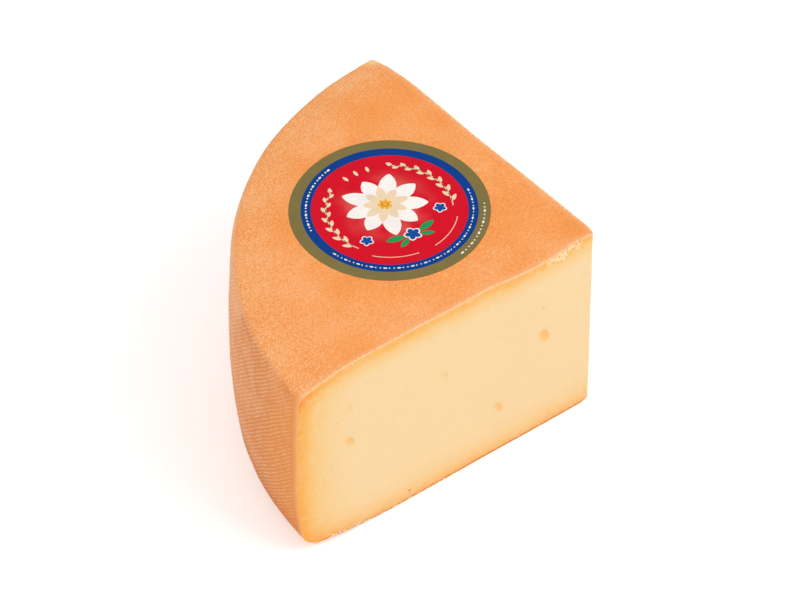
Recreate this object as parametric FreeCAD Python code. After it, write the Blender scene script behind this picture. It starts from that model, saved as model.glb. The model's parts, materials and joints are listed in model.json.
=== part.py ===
"""Quarter of a small alpine hard cheese wheel, with a round paper label glued on its crown.

A whole wheel is revolved from its half section: a flat base that lifts towards the foot, a bulged side,
a soft shoulder and a nearly flat crown. Two knife strokes, which bow a little at the crown and are
straight at the base, leave a quarter of it. The round eyes of the dough are scooped out where the knife
opened them. The label is a thin skin that lies on the crown all over.

Units are millimetres, +Z is up, and the piece rests on its base. The first cut face looks along -Y, the
second close to +X, and the rim curves round the -X and +Y side. The origin is the bottom middle of the
piece's bounding box.
"""

import FreeCAD
import Part
import math
import os

# The whole wheel
WHEEL_RADIUS = 150.0  # at the widest place of the bulged side
WHEEL_HEIGHT = 100.4  # base to crown
CROWN_FLAT_RADIUS = 115.0  # the flat middle of the crown
SHOULDER_DROP = 5.4  # fall of the crown from its flat middle to the side
SHOULDER_INSET = 1.7  # how far the side draws in at the shoulder
SHOULDER_BLEND = 4.2
WIDEST_HEIGHT = 44.0  # height of the widest place of the side
FOOT_INSET = 3.0  # how far the side draws in at the foot
FOOT_LIFT = 5.5  # rise of the base from its flat middle to the side
FOOT_BLEND = 12.5
BASE_FLAT_RADIUS = 97.0  # the flat middle of the base, which the wheel rests on

# The two knife strokes
QUARTER_ANGLE = 87.6  # between the two cut faces, in degrees
CUT_PAST_AXIS = 5.0  # the strokes meet this far beyond the wheel's axis
FRONT_BOW = 1.8  # how far the first stroke bows outward at the crown
FRONT_BOW_AT = 28.0  # distance of that bow from the tip
BACK_BOW = -0.6  # the second stroke bows inward
BACK_BOW_AT = 65.0
BOW_FADES = 2.2  # a bow has faded this many times as far from the tip as it is widest
TIP_RADIUS_CROWN = 2.5  # the tip is blunt at the crown
TIP_RADIUS_BASE = 1.0

# The eyes: distance from the tip along the cut, height over the base, radius of the opening
FRONT_EYES = (
    (26.8, 55.9, 2.8),
    (50.1, 26.5, 2.0),
    (78.7, 63.1, 1.6),
    (127.6, 55.1, 2.1),
    (127.4, 74.5, 1.4),
)
BACK_EYES = (
    (38.0, 70.5, 2.3),
    (61.0, 38.0, 1.6),
    (92.0, 60.0, 2.6),
    (117.0, 29.0, 1.8),
)
EYE_DEPTH_SHARE = 0.8  # depth of an eye over the radius of its opening

# The label
LABEL_RADIUS = 42.2
LABEL_THICKNESS = 0.2
LABEL_FROM_AXIS = 83.3  # distance of its centre from the wheel's axis
LABEL_OFF_MIDDLE = 4.4  # turn of its centre from the quarter's middle towards the second cut, in degrees

SPARE = 20.0  # how far a cutting tool reaches past what it cuts
TIP = FreeCAD.Vector(CUT_PAST_AXIS, 0, 0)
SECOND_CUT = math.radians(180.0 - QUARTER_ANGLE)  # direction of the second cut from the tip


def at(radius, height):
    """Point of the half section, which is drawn over the X axis."""
    return FreeCAD.Vector(radius, 0, height)


class SectionArc:
    """Arc of the half section, which bulges away from the inside of the wheel."""

    def __init__(self, centre, start, end):
        """Take the arc's centre and its two ends."""
        self.centre = centre
        self.radius = start.distanceToPoint(centre)
        self.start = start
        self.end = end

    @classmethod
    def level_at(cls, level, start, end):
        """Arc from start to end that is level at one of them."""
        run, rise = end.x - start.x, end.z - start.z
        if level is end:
            rise = -rise
        return cls(at(level.x, level.z + (run * run + rise * rise) / (2 * rise)), start, end)

    @classmethod
    def upright_at(cls, upright, start, end):
        """Arc from start to end that is upright at one of them."""
        run, rise = end.x - start.x, end.z - start.z
        if upright is end:
            run = -run
        return cls(at(upright.x + (run * run + rise * rise) / (2 * run), upright.z), start, end)

    def blend_into(self, other, radius):
        """Arc that rounds the corner between this arc's end and the start of other, and trims both."""
        mine, theirs = self.radius - radius, other.radius - radius
        across = other.centre - self.centre
        apart = across.Length
        along = (mine * mine - theirs * theirs + apart * apart) / (2 * apart)
        aside = math.sqrt(mine * mine - along * along)
        across.normalize()
        foot_point = self.centre + across * along
        sideways = FreeCAD.Vector(-across.z, 0, across.x) * aside
        centre = min((foot_point + sideways, foot_point - sideways), key=self.end.distanceToPoint)
        self.end = self.centre + (centre - self.centre).normalize() * self.radius
        other.start = other.centre + (centre - other.centre).normalize() * other.radius
        return SectionArc(centre, self.end, other.start)

    def edge(self):
        """The arc as an edge."""
        outward = ((self.start + self.end) / 2 - self.centre).normalize()
        return Part.Arc(self.start, self.centre + outward * self.radius, self.end).toShape()


def whole_wheel():
    """The wheel before it is cut."""
    base_middle, base_end = at(0, 0), at(BASE_FLAT_RADIUS, 0)
    foot = at(WHEEL_RADIUS - FOOT_INSET, FOOT_LIFT)
    widest = at(WHEEL_RADIUS, WIDEST_HEIGHT)
    shoulder = at(WHEEL_RADIUS - SHOULDER_INSET, WHEEL_HEIGHT - SHOULDER_DROP)
    crown_end, crown_middle = at(CROWN_FLAT_RADIUS, WHEEL_HEIGHT), at(0, WHEEL_HEIGHT)
    lift = SectionArc.level_at(base_end, base_end, foot)
    lower_side = SectionArc.upright_at(widest, foot, widest)
    upper_side = SectionArc.upright_at(widest, widest, shoulder)
    fall = SectionArc.level_at(crown_end, shoulder, crown_end)
    foot_blend = lift.blend_into(lower_side, FOOT_BLEND)
    shoulder_blend = upper_side.blend_into(fall, SHOULDER_BLEND)
    arcs = [lift, foot_blend, lower_side, upper_side, shoulder_blend, fall]
    edges = [Part.makeLine(base_middle, base_end)]
    edges += [arc.edge() for arc in arcs]
    edges += [Part.makeLine(crown_end, crown_middle), Part.makeLine(crown_middle, base_middle)]
    section = Part.Face(Part.Wire(edges))
    return section.revolve(FreeCAD.Vector(0, 0, 0), FreeCAD.Vector(0, 0, 1), 360)


def tip_radius(height):
    """Radius of the blunt tip at one height."""
    return TIP_RADIUS_BASE + (TIP_RADIUS_CROWN - TIP_RADIUS_BASE) * height / WHEEL_HEIGHT


class Stroke:
    """One knife stroke, which leaves the tip in a direction and bows to one side at the crown."""

    def __init__(self, direction, outward, bow, bow_at):
        """Take the directions in radians, the bow at the crown and its distance from the tip."""
        self.along = FreeCAD.Vector(math.cos(direction), math.sin(direction), 0)
        self.outward = FreeCAD.Vector(math.cos(outward), math.sin(outward), 0)
        self.bow = bow
        self.bow_at = bow_at

    def point(self, distance, height):
        """Point at that distance from the tip, on the stroke if it didn't bow."""
        return TIP + self.along * distance + FreeCAD.Vector(0, 0, height)

    def start(self, height):
        """Where the stroke meets the blunt tip at one height."""
        return self.point(tip_radius(height) / math.tan(math.radians(QUARTER_ANGLE / 2)), height)

    def end(self, height):
        """Where the stroke ends at one height, outside the wheel."""
        return self.point(WHEEL_RADIUS + CUT_PAST_AXIS + SPARE, height)

    def path(self, height):
        """Edges of the knife's path at one height, from the blunt tip outwards: the bow, then straight on."""
        bowed = self.point(self.bow_at, height) + self.outward * (self.bow * height / WHEEL_HEIGHT)
        faded = self.point(self.bow_at * BOW_FADES, height)
        curve = Part.BSplineCurve()
        curve.interpolate(
            Points=[self.start(height), bowed, faded], InitialTangent=self.along, FinalTangent=self.along
        )
        return [curve.toShape(), Part.makeLine(faded, self.end(height))]

    def eye(self, distance, height, opening):
        """Ball that scoops an eye out of the cut face, at that distance from the tip."""
        depth = opening * EYE_DEPTH_SHARE
        ball_radius = (opening * opening + depth * depth) / (2 * depth)
        on_chord = self.point(distance, height)
        probe = Part.makeLine(on_chord - self.outward * SPARE, on_chord + self.outward * SPARE)
        on_face = probe.distToShape(Part.Wire(self.path(height)))[1][0][0]
        return Part.makeSphere(ball_radius, on_face + self.outward * (ball_radius - depth))


FRONT_STROKE = Stroke(math.pi, -math.pi / 2, FRONT_BOW, FRONT_BOW_AT)
BACK_STROKE = Stroke(SECOND_CUT, SECOND_CUT - math.pi / 2, BACK_BOW, BACK_BOW_AT)


def quarter_outline(height):
    """Closed outline at one height of what the two strokes leave, with the blunt tip between them."""
    half = math.radians(QUARTER_ANGLE / 2)
    inward = FreeCAD.Vector(math.cos(math.pi - half), math.sin(math.pi - half), 0)
    blunted = TIP + inward * (tip_radius(height) * (1 / math.sin(half) - 1)) + FreeCAD.Vector(0, 0, height)
    tip = Part.Arc(BACK_STROKE.start(height), blunted, FRONT_STROKE.start(height)).toShape()
    front_end, back_end = FRONT_STROKE.end(height), BACK_STROKE.end(height)
    outer = FreeCAD.Vector(front_end.x, back_end.y, height)
    far_edges = [Part.makeLine(front_end, outer), Part.makeLine(outer, back_end)]
    return Part.Wire([tip, *FRONT_STROKE.path(height), *far_edges, *reversed(BACK_STROKE.path(height))])


def quarter_block():
    """Block between the two strokes, which is taller than the wheel."""
    return Part.makeLoft([quarter_outline(-SPARE), quarter_outline(WHEEL_HEIGHT + SPARE)], True, True)


def cheese():
    """The quarter of the wheel, with its eyes."""
    balls = [FRONT_STROKE.eye(*eye) for eye in FRONT_EYES] + [BACK_STROKE.eye(*eye) for eye in BACK_EYES]
    return whole_wheel().common(quarter_block()).cut(Part.makeCompound(balls)).Solids[0]


def label():
    """The paper label: what the wheel gains when it is raised by the paper's thickness, trimmed round."""
    wheel = whole_wheel()
    raised = wheel.translated(FreeCAD.Vector(0, 0, LABEL_THICKNESS))
    towards = math.radians(180.0 - QUARTER_ANGLE / 2 - LABEL_OFF_MIDDLE)
    foot_point = FreeCAD.Vector(LABEL_FROM_AXIS * math.cos(towards), LABEL_FROM_AXIS * math.sin(towards), 0)
    trim = Part.makeCylinder(LABEL_RADIUS, WHEEL_HEIGHT, foot_point + FreeCAD.Vector(0, 0, WHEEL_HEIGHT / 2))
    return raised.common(trim).cut(wheel).Solids[0]


def resting_place(solid):
    """Shift that brings the bottom middle of the solid's bounding box to the origin."""
    box = solid.optimalBoundingBox(False, False)
    return FreeCAD.Vector(-(box.XMin + box.XMax) / 2, -(box.YMin + box.YMax) / 2, -box.ZMin)


def main():
    """Build each piece, set it over the origin and write its STEP file."""
    os.makedirs("parts", exist_ok=True)
    quarter = cheese()
    shift = resting_place(quarter)
    for name, solid in (("cheese", quarter), ("label", label())):
        solid.translate(shift)
        solid.exportStep("parts/%s.step" % name)
        print(name, "valid:", solid.isValid(), "volume: %.1f" % solid.Volume)


main()
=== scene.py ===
"""Looks of a quarter of an alpine hard cheese wheel with a round paper label on its crown.

Everything is in metres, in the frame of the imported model: +Z up, the piece rests on its base, the first
cut face looks along -Y, the second close to +X, and the rim curves round the -X and +Y side.
"""

import json
import logging
import math
from collections.abc import Callable, Iterable
from dataclasses import dataclass, field
from enum import Enum
from functools import partial
from random import Random

import bmesh
import bpy
from bmesh.types import BMEdge, BMesh, BMVert
from bpy.types import Material, Node, NodeSocket, NodeTree, Object
from mathutils import Matrix, Vector, noise

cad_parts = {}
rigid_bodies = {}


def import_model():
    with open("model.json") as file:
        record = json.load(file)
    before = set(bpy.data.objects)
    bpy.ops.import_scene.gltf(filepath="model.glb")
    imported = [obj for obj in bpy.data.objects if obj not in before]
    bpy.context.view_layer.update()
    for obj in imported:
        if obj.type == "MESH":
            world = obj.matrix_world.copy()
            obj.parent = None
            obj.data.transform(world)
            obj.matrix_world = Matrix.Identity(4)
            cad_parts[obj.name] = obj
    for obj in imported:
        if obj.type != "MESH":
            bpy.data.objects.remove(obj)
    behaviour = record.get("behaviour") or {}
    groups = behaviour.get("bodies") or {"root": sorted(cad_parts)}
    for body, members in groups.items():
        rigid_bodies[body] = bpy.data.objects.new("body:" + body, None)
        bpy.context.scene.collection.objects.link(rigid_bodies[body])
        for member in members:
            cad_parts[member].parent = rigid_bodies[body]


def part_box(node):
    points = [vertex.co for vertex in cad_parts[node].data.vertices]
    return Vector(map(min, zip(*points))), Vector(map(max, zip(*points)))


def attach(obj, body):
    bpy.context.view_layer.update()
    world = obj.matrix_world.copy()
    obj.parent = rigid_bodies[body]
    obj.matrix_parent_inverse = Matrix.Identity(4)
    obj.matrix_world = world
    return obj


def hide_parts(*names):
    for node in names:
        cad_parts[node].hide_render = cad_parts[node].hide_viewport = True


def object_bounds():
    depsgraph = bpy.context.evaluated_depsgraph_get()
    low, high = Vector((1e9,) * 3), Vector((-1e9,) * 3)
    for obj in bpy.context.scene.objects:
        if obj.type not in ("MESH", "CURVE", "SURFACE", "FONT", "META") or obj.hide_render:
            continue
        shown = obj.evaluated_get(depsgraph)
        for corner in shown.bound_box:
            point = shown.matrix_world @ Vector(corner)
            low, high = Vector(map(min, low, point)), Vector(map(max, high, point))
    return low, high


for leftover in list(bpy.data.objects):
    bpy.data.objects.remove(leftover)
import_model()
CAD_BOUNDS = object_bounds()

BODY = "root"
MM = 0.001
TINY = 1e-6
CLOSE = TINY * 10
SHARP = math.radians(40)
LOG = logging.getLogger("cheese_quarter")

Feed = float | tuple | NodeSocket
Pair = tuple[float, float]
Stops = tuple[tuple[float, str], ...]


class Surface(Enum):
    """The five surfaces of the quarter, each with its own relief."""

    CROWN = "crown"
    BASE = "base"
    RIM = "rim"
    FIRST_CUT = "first_cut"
    SECOND_CUT = "second_cut"


class Slot(Enum):
    """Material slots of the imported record."""

    CHEESE = "cheese"
    LABEL = "label"


def smooth(value: float, low: float, high: float) -> float:
    """Soft step of a value, from 0 at low to 1 at high; low may be the greater of the two."""
    share = min(max((value - low) / (high - low), 0.0), 1.0)
    return share * share * (3.0 - 2.0 * share)


def colour(code: str) -> tuple[float, float, float, float]:
    """Shader colour of a screen colour.

    Args:
        code: Six hexadecimal digits, red first.

    Returns:
        The linear colour, opaque.
    """
    parts = [int(code[start:start + 2], 16) / 255.0 for start in (0, 2, 4)]
    linear = [part / 12.92 if part <= 0.04045 else ((part + 0.055) / 1.055) ** 2.4 for part in parts]
    return (*linear, 1.0)


def ripple(point: Vector, size: float, seed: float, detail: int = 2) -> float:
    """Soft random relief.

    Args:
        point: Place on the surface, in metres.
        size: Size of one ripple, in metres.
        seed: Shift that makes one pattern differ from another.
        detail: Number of finer octaves.

    Returns:
        The relief, from 0 to 1.
    """
    place = point / size + Vector((seed, seed * 0.7, -seed))
    value = noise.fractal(place, 0.9, 2.1, detail, noise_basis="PERLIN_ORIGINAL")
    return min(max(0.5 + 0.5 * value, 0.0), 1.0)


def towards(heading: float) -> Vector:
    """Level direction of length 1 at a heading, in radians."""
    return Vector((math.cos(heading), math.sin(heading), 0.0))


def spin_round(
    bm: BMesh, parts: list[BMVert | BMEdge], angle: float, steps: int, merge: bool = False
) -> None:
    """Sweep edges round the Z axis into faces.

    Args:
        bm: Mesh that holds them.
        parts: The edges and their vertices.
        angle: Angle of the sweep, in radians.
        steps: Number of steps.
        merge: Whether the last step is joined to the first.
    """
    bmesh.ops.spin(
        bm, geom=parts, cent=(0, 0, 0), axis=(0, 0, 1), dvec=(0, 0, 0), angle=angle, steps=steps,
        use_merge=merge, use_normal_flip=False, use_duplicate=False,
    )


def verts_among(parts: Iterable[object]) -> list[BMVert]:
    """The vertices among the parts that a mesh operator returns."""
    return [part for part in parts if isinstance(part, BMVert)]


def finish_mesh(
    bm: BMesh, name: str, materials: Iterable[Material], crease: float = math.pi
) -> Object:
    """Turn a finished bmesh into a smooth-shaded object with its materials.

    Args:
        bm: The mesh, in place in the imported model's frame; it is freed.
        name: Name of the piece.
        materials: Materials in the order of the faces' material numbers.
        crease: Angle between faces from which their edge is shaded sharp.

    Returns:
        The linked object, unturned and unscaled at the origin.
    """
    for face in bm.faces:
        face.smooth = True
    for edge in bm.edges:
        edge.smooth = edge.smooth and edge.calc_face_angle(0.0) < crease
    mesh = bpy.data.meshes.new(name)
    bm.to_mesh(mesh)
    bm.free()
    for material in materials:
        mesh.materials.append(material)
    piece = bpy.data.objects.new(name, mesh)
    bpy.context.scene.collection.objects.link(piece)
    return piece


def enrol(piece: Object, replaced: str | None = None) -> Object:
    """Let a piece ride on the body and stand for a solid.

    Args:
        piece: The finished piece.
        replaced: Name of the solid that the piece stands for, if any.

    Returns:
        The same piece.
    """
    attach(piece, BODY)
    if replaced:
        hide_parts(replaced)
    LOG.info("%s: %d faces", piece.name, len(piece.data.polygons))
    return piece


# ----------------------------------------
# Form of the wheel, and of the quarter that two knife strokes leave of it


@dataclass(frozen=True)
class KnifeStroke:
    """One knife stroke, which bows to one side at the crown and is straight at the base."""

    bow: float
    bow_at: float
    fades: float = 2.2
    start: float = 2.6 * MM

    def aside(self, distance: float) -> float:
        """How far the stroke bows out at the crown, at one distance from the tip.

        Args:
            distance: Distance from the tip along the stroke.

        Returns:
            The bow at the crown, in metres; negative where the cut is hollow.
        """
        end = self.bow_at * self.fades
        if not self.start < distance < end:
            return 0.0
        rise, fall = self.bow_at - self.start, end - self.bow_at
        slope = 1.5 * self.bow * (1 / rise**2 - 1 / fall**2) / (1 / rise + 1 / fall)
        if distance < self.bow_at:
            run, share = rise, (distance - self.start) / rise
        else:
            run, share, slope = fall, (end - distance) / fall, -slope
        return self.bow * share * share * (3 - 2 * share) + slope * run * share * share * (share - 1)


class SectionArc:
    """Arc of the half section, drawn as distance from the axis and height."""

    def __init__(self, centre: Vector, start: Vector, end: Vector) -> None:
        """Take the arc's centre and its two ends.

        Args:
            centre: Centre of the arc.
            start: First end, which gives the radius.
            end: Second end.
        """
        self.centre = centre
        self.start = start
        self.end = end
        self.radius = (start - centre).length

    def blend_into(self, other: "SectionArc", radius: float) -> "SectionArc":
        """Round the corner between this arc's end and the start of another, and trim both.

        Args:
            other: The arc that follows.
            radius: Radius of the rounding.

        Returns:
            The rounding arc.
        """
        mine, theirs = self.radius - radius, other.radius - radius
        across = other.centre - self.centre
        apart = across.length
        along = (mine * mine - theirs * theirs + apart * apart) / (2 * apart)
        aside = math.sqrt(mine * mine - along * along)
        across.normalize()
        foot_point = self.centre + across * along
        sideways = Vector((-across.y, across.x)) * aside
        centres = (foot_point + sideways, foot_point - sideways)
        centre = min(centres, key=lambda spot: (spot - self.end).length)
        self.end = self.centre + (centre - self.centre).normalized() * self.radius
        other.start = other.centre + (centre - other.centre).normalized() * other.radius
        return SectionArc(centre, self.end, other.start)

    def point(self, share: float) -> Vector:
        """Place on the arc.

        Args:
            share: 0 at the start, 1 at the end.

        Returns:
            Distance from the axis and height.
        """
        first, last = self.start - self.centre, self.end - self.centre
        turn = first.angle_signed(last)
        return self.centre + Matrix.Rotation(-turn * share, 2) @ first

    def height_at(self, radius: float, side: float) -> float:
        """Height of the arc at a distance from the axis; side is 1 for its top half, -1 for its lower."""
        run = radius - self.centre.x
        return self.centre.y + side * math.sqrt(max(self.radius**2 - run * run, 0.0))


@dataclass
class Wheel:
    """The whole wheel's half section, placed in the quarter's frame."""

    low: Vector
    high: Vector
    radius: float = 150 * MM
    height: float = 100.4 * MM
    crown_flat: float = 115 * MM
    shoulder: Vector = field(default_factory=lambda: Vector((148.3, 95.0)) * MM)
    widest: float = 44 * MM
    foot: Vector = field(default_factory=lambda: Vector((147.0, 5.5)) * MM)
    base_flat: float = 97 * MM
    shoulder_blend: float = 4.2 * MM
    foot_blend: float = 12.5 * MM
    angle: float = math.radians(87.6)
    past_axis: float = 5 * MM
    tip_crown: float = 2.5 * MM
    tip_base: float = 1.0 * MM
    tip_reach: float = 4.0
    side_steps: tuple[int, int, int, int] = (40, 60, 80, 20)
    first: KnifeStroke = KnifeStroke(1.8 * MM, 28 * MM)
    second: KnifeStroke = KnifeStroke(-0.6 * MM, 65 * MM)

    def __post_init__(self) -> None:
        """Place the axis and draw the arcs of the half section."""
        across = self.past_axis * math.sin(self.angle)
        run = self.past_axis * math.cos(self.angle) + math.sqrt(self.radius**2 - across**2)
        self.axis = Vector((self.low.x + self.radius, self.high.y - run * math.sin(self.angle), 0.0))
        self.tip = self.axis + Vector((self.past_axis, 0.0, 0.0))
        base_end, crown_end = Vector((self.base_flat, 0.0)), Vector((self.crown_flat, self.height))
        widest = Vector((self.radius, self.widest))
        self.lift = self.arc_from(base_end, base_end, self.foot, upright=False)
        self.fall = self.arc_from(crown_end, self.shoulder.copy(), crown_end, upright=False)
        self.lower = self.arc_from(widest, self.foot, widest, upright=True)
        self.upper = self.arc_from(widest, widest, self.shoulder, upright=True)
        self.toe = self.lift.blend_into(self.lower, self.foot_blend)
        self.brow = self.upper.blend_into(self.fall, self.shoulder_blend)
        self.low_corner, self.top_corner = self.toe.point(0.5), self.brow.point(0.5)

    @staticmethod
    def arc_from(fixed: Vector, start: Vector, end: Vector, upright: bool) -> SectionArc:
        """Arc that is level or upright at one of its ends.

        Args:
            fixed: The end at which it is so.
            start: First end.
            end: Second end.
            upright: Whether it is upright there, and not level.

        Returns:
            The arc.
        """
        other = start if fixed is end else end
        run, rise = other.x - fixed.x, other.y - fixed.y
        if upright:
            centre = Vector((fixed.x + (run * run + rise * rise) / (2 * run), fixed.y))
        else:
            centre = Vector((fixed.x, fixed.y + (run * run + rise * rise) / (2 * rise)))
        return SectionArc(centre, start, end)

    def heading(self, surface: Surface) -> float:
        """Heading of a cut from the tip, in radians."""
        return math.pi if surface is Surface.FIRST_CUT else math.pi - self.angle

    def inward(self, surface: Surface) -> Vector:
        """Level direction from a cut face into the cheese."""
        quarter_turn = -math.pi / 2 if surface is Surface.FIRST_CUT else math.pi / 2
        return towards(self.heading(surface) + quarter_turn)

    def crown_height(self, radius: float) -> float:
        """Height of the crown.

        Args:
            radius: Distance from the axis.

        Returns:
            The height over the base.
        """
        if radius <= self.crown_flat:
            return self.height
        if radius <= self.fall.start.x:
            return self.fall.height_at(radius, 1)
        return self.brow.height_at(min(radius, self.top_corner.x), 1)

    def base_height(self, radius: float) -> float:
        """Height of the underside.

        Args:
            radius: Distance from the axis.

        Returns:
            The height over the flat of the base.
        """
        if radius <= self.base_flat:
            return 0.0
        if radius <= self.lift.end.x:
            return self.lift.height_at(radius, -1)
        return self.toe.height_at(min(radius, self.low_corner.x), -1)

    def side_points(self, rows: int) -> list[Vector]:
        """Evenly spaced places up the side, from the middle of the toe's rounding to the brow's.

        Args:
            rows: Number of steps.

        Returns:
            Places as distance from the axis and height, rows + 1 of them.
        """
        arcs = ((self.toe, 0.5, 0.5), (self.lower, 0.0, 1.0), (self.upper, 0.0, 1.0), (self.brow, 0.0, 0.5))
        fine = [
            arc.point(start + share * step / steps)
            for (arc, start, share), steps in zip(arcs, self.side_steps) for step in range(steps)
        ]
        fine.append(self.top_corner)
        lengths = [0.0]
        for before, after in zip(fine, fine[1:]):
            lengths.append(lengths[-1] + (after - before).length)
        places, place = [], 0
        for row in range(rows + 1):
            wanted = lengths[-1] * row / rows
            while place < len(lengths) - 2 and lengths[place + 1] < wanted:
                place += 1
            share = (wanted - lengths[place]) / (lengths[place + 1] - lengths[place])
            places.append(fine[place].lerp(fine[place + 1], share))
        return places

    def from_axis(self, spot: Vector) -> float:
        """Distance of a place from the wheel's axis."""
        return math.hypot(spot.x - self.axis.x, spot.y - self.axis.y)

    def reach(self, direction: Vector, radius: float) -> float:
        """Distance from the tip to a circle round the axis.

        Args:
            direction: Level direction from the tip, of length 1.
            radius: Radius of the circle.

        Returns:
            The distance, in metres.
        """
        offset = self.tip - self.axis
        along = offset.dot(direction)
        return -along + math.sqrt(along * along + radius * radius - offset.length_squared)

    def spot(self, out: float, up: float, turn: float, sides: list[Vector]) -> Vector:
        """Place of one vertex of the quarter.

        Args:
            out: 0 at the tip, 1 at the rim.
            up: 0 at the base, 1 at the crown.
            turn: 0 at the first cut, 1 at the second.
            sides: Places up the side, evenly spaced.

        Returns:
            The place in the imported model's frame.
        """
        step = min(int(up * (len(sides) - 1)), len(sides) - 2)
        side = sides[step].lerp(sides[step + 1], up * (len(sides) - 1) - step)
        level = (side.y - sides[0].y) / (sides[-1].y - sides[0].y)
        heading = math.pi - self.angle * turn
        distance = out * self.reach(towards(heading), side.x)
        flat = self.tip + towards(heading) * distance
        radius = self.from_axis(flat)
        bottom, top = self.base_height(radius), self.crown_height(radius)
        height = bottom + (top - bottom) * level
        if distance > TINY:
            share = height / self.height
            swing_first = math.asin(self.first.aside(distance) * share / distance)
            swing_second = math.asin(self.second.aside(distance) * share / distance)
            heading += swing_first * (1 - turn) - swing_second * turn
            flat = self.tip + towards(heading) * distance
        flat = self.blunted(flat, height)
        return Vector((flat.x, flat.y, height))

    def blunted(self, flat: Vector, height: float) -> Vector:
        """Draw a place near the tip inward, so that the tip is round.

        Args:
            flat: Place seen from above.
            height: Height over the base.

        Returns:
            The place, moved towards the rim.
        """
        half = self.angle / 2
        inward = towards(math.pi - half)
        offset = flat - self.tip
        depth, aside = offset.dot(inward), abs(offset.x * inward.y - offset.y * inward.x)
        blunt = self.tip_base + (self.tip_crown - self.tip_base) * height / self.height
        if aside >= blunt * math.cos(half):
            return flat
        edge = blunt / math.sin(half) - math.sqrt(blunt * blunt - aside * aside)
        shift = edge - aside / math.tan(half)
        past_edge = depth - aside / math.tan(half)
        return flat + inward * shift * (1 - smooth(past_edge, 0.0, self.tip_reach * blunt))


@dataclass(frozen=True)
class Relief:
    """Soft random relief: size of one ripple, shift of the pattern, depth, and finer octaves."""

    size: float
    seed: float
    depth: float = 1.0
    detail: int = 2

    def at(self, place: Vector) -> float:
        """Depth of the relief at a place."""
        return self.depth * ripple(place, self.size, self.seed, self.detail)


@dataclass(frozen=True)
class Eye:
    """One oval eye that the knife opened: where it is, half its width, its form, and how dark it is."""

    distance: float
    height: float
    radius: float
    tall: float = 1.35
    lean: float = 0.6
    depth: float = 0.18
    stain: float = 0.8
    edge: Pair = (0.82, 1.2)
    heart: Pair = (0.1, 0.55)
    heart_stain: float = 0.35
    halo: Pair = (1.0, 2.0)
    halo_stain: float = 0.14

    def away(self, distance: float, height: float, ragged: float = 1.0) -> float:
        """Distance of a place of the cut from the eye's middle: 1 is the eye's edge, stretched by ragged."""
        aside, above = distance - self.distance, height - self.height
        return math.hypot(aside, (above - self.lean * aside) / self.tall) / (self.radius * ragged)

    def stained(self, away: float, speckled: float) -> float:
        """How stained the cut is at a distance from the eye's middle.

        Args:
            away: The distance, as a share of the eye's size.
            speckled: Pattern of the specks in the eye's heart, from 0 to 1.

        Returns:
            The stain, from 0 to 1.
        """
        heart = self.heart_stain * speckled * (1 - smooth(away, *self.heart))
        inside = (self.stain + heart) * (1 - smooth(away, *self.edge))
        return max(inside, self.halo_stain * (1 - smooth(away, *self.halo)))


# ----------------------------------------
# The body of the cheese


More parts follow.
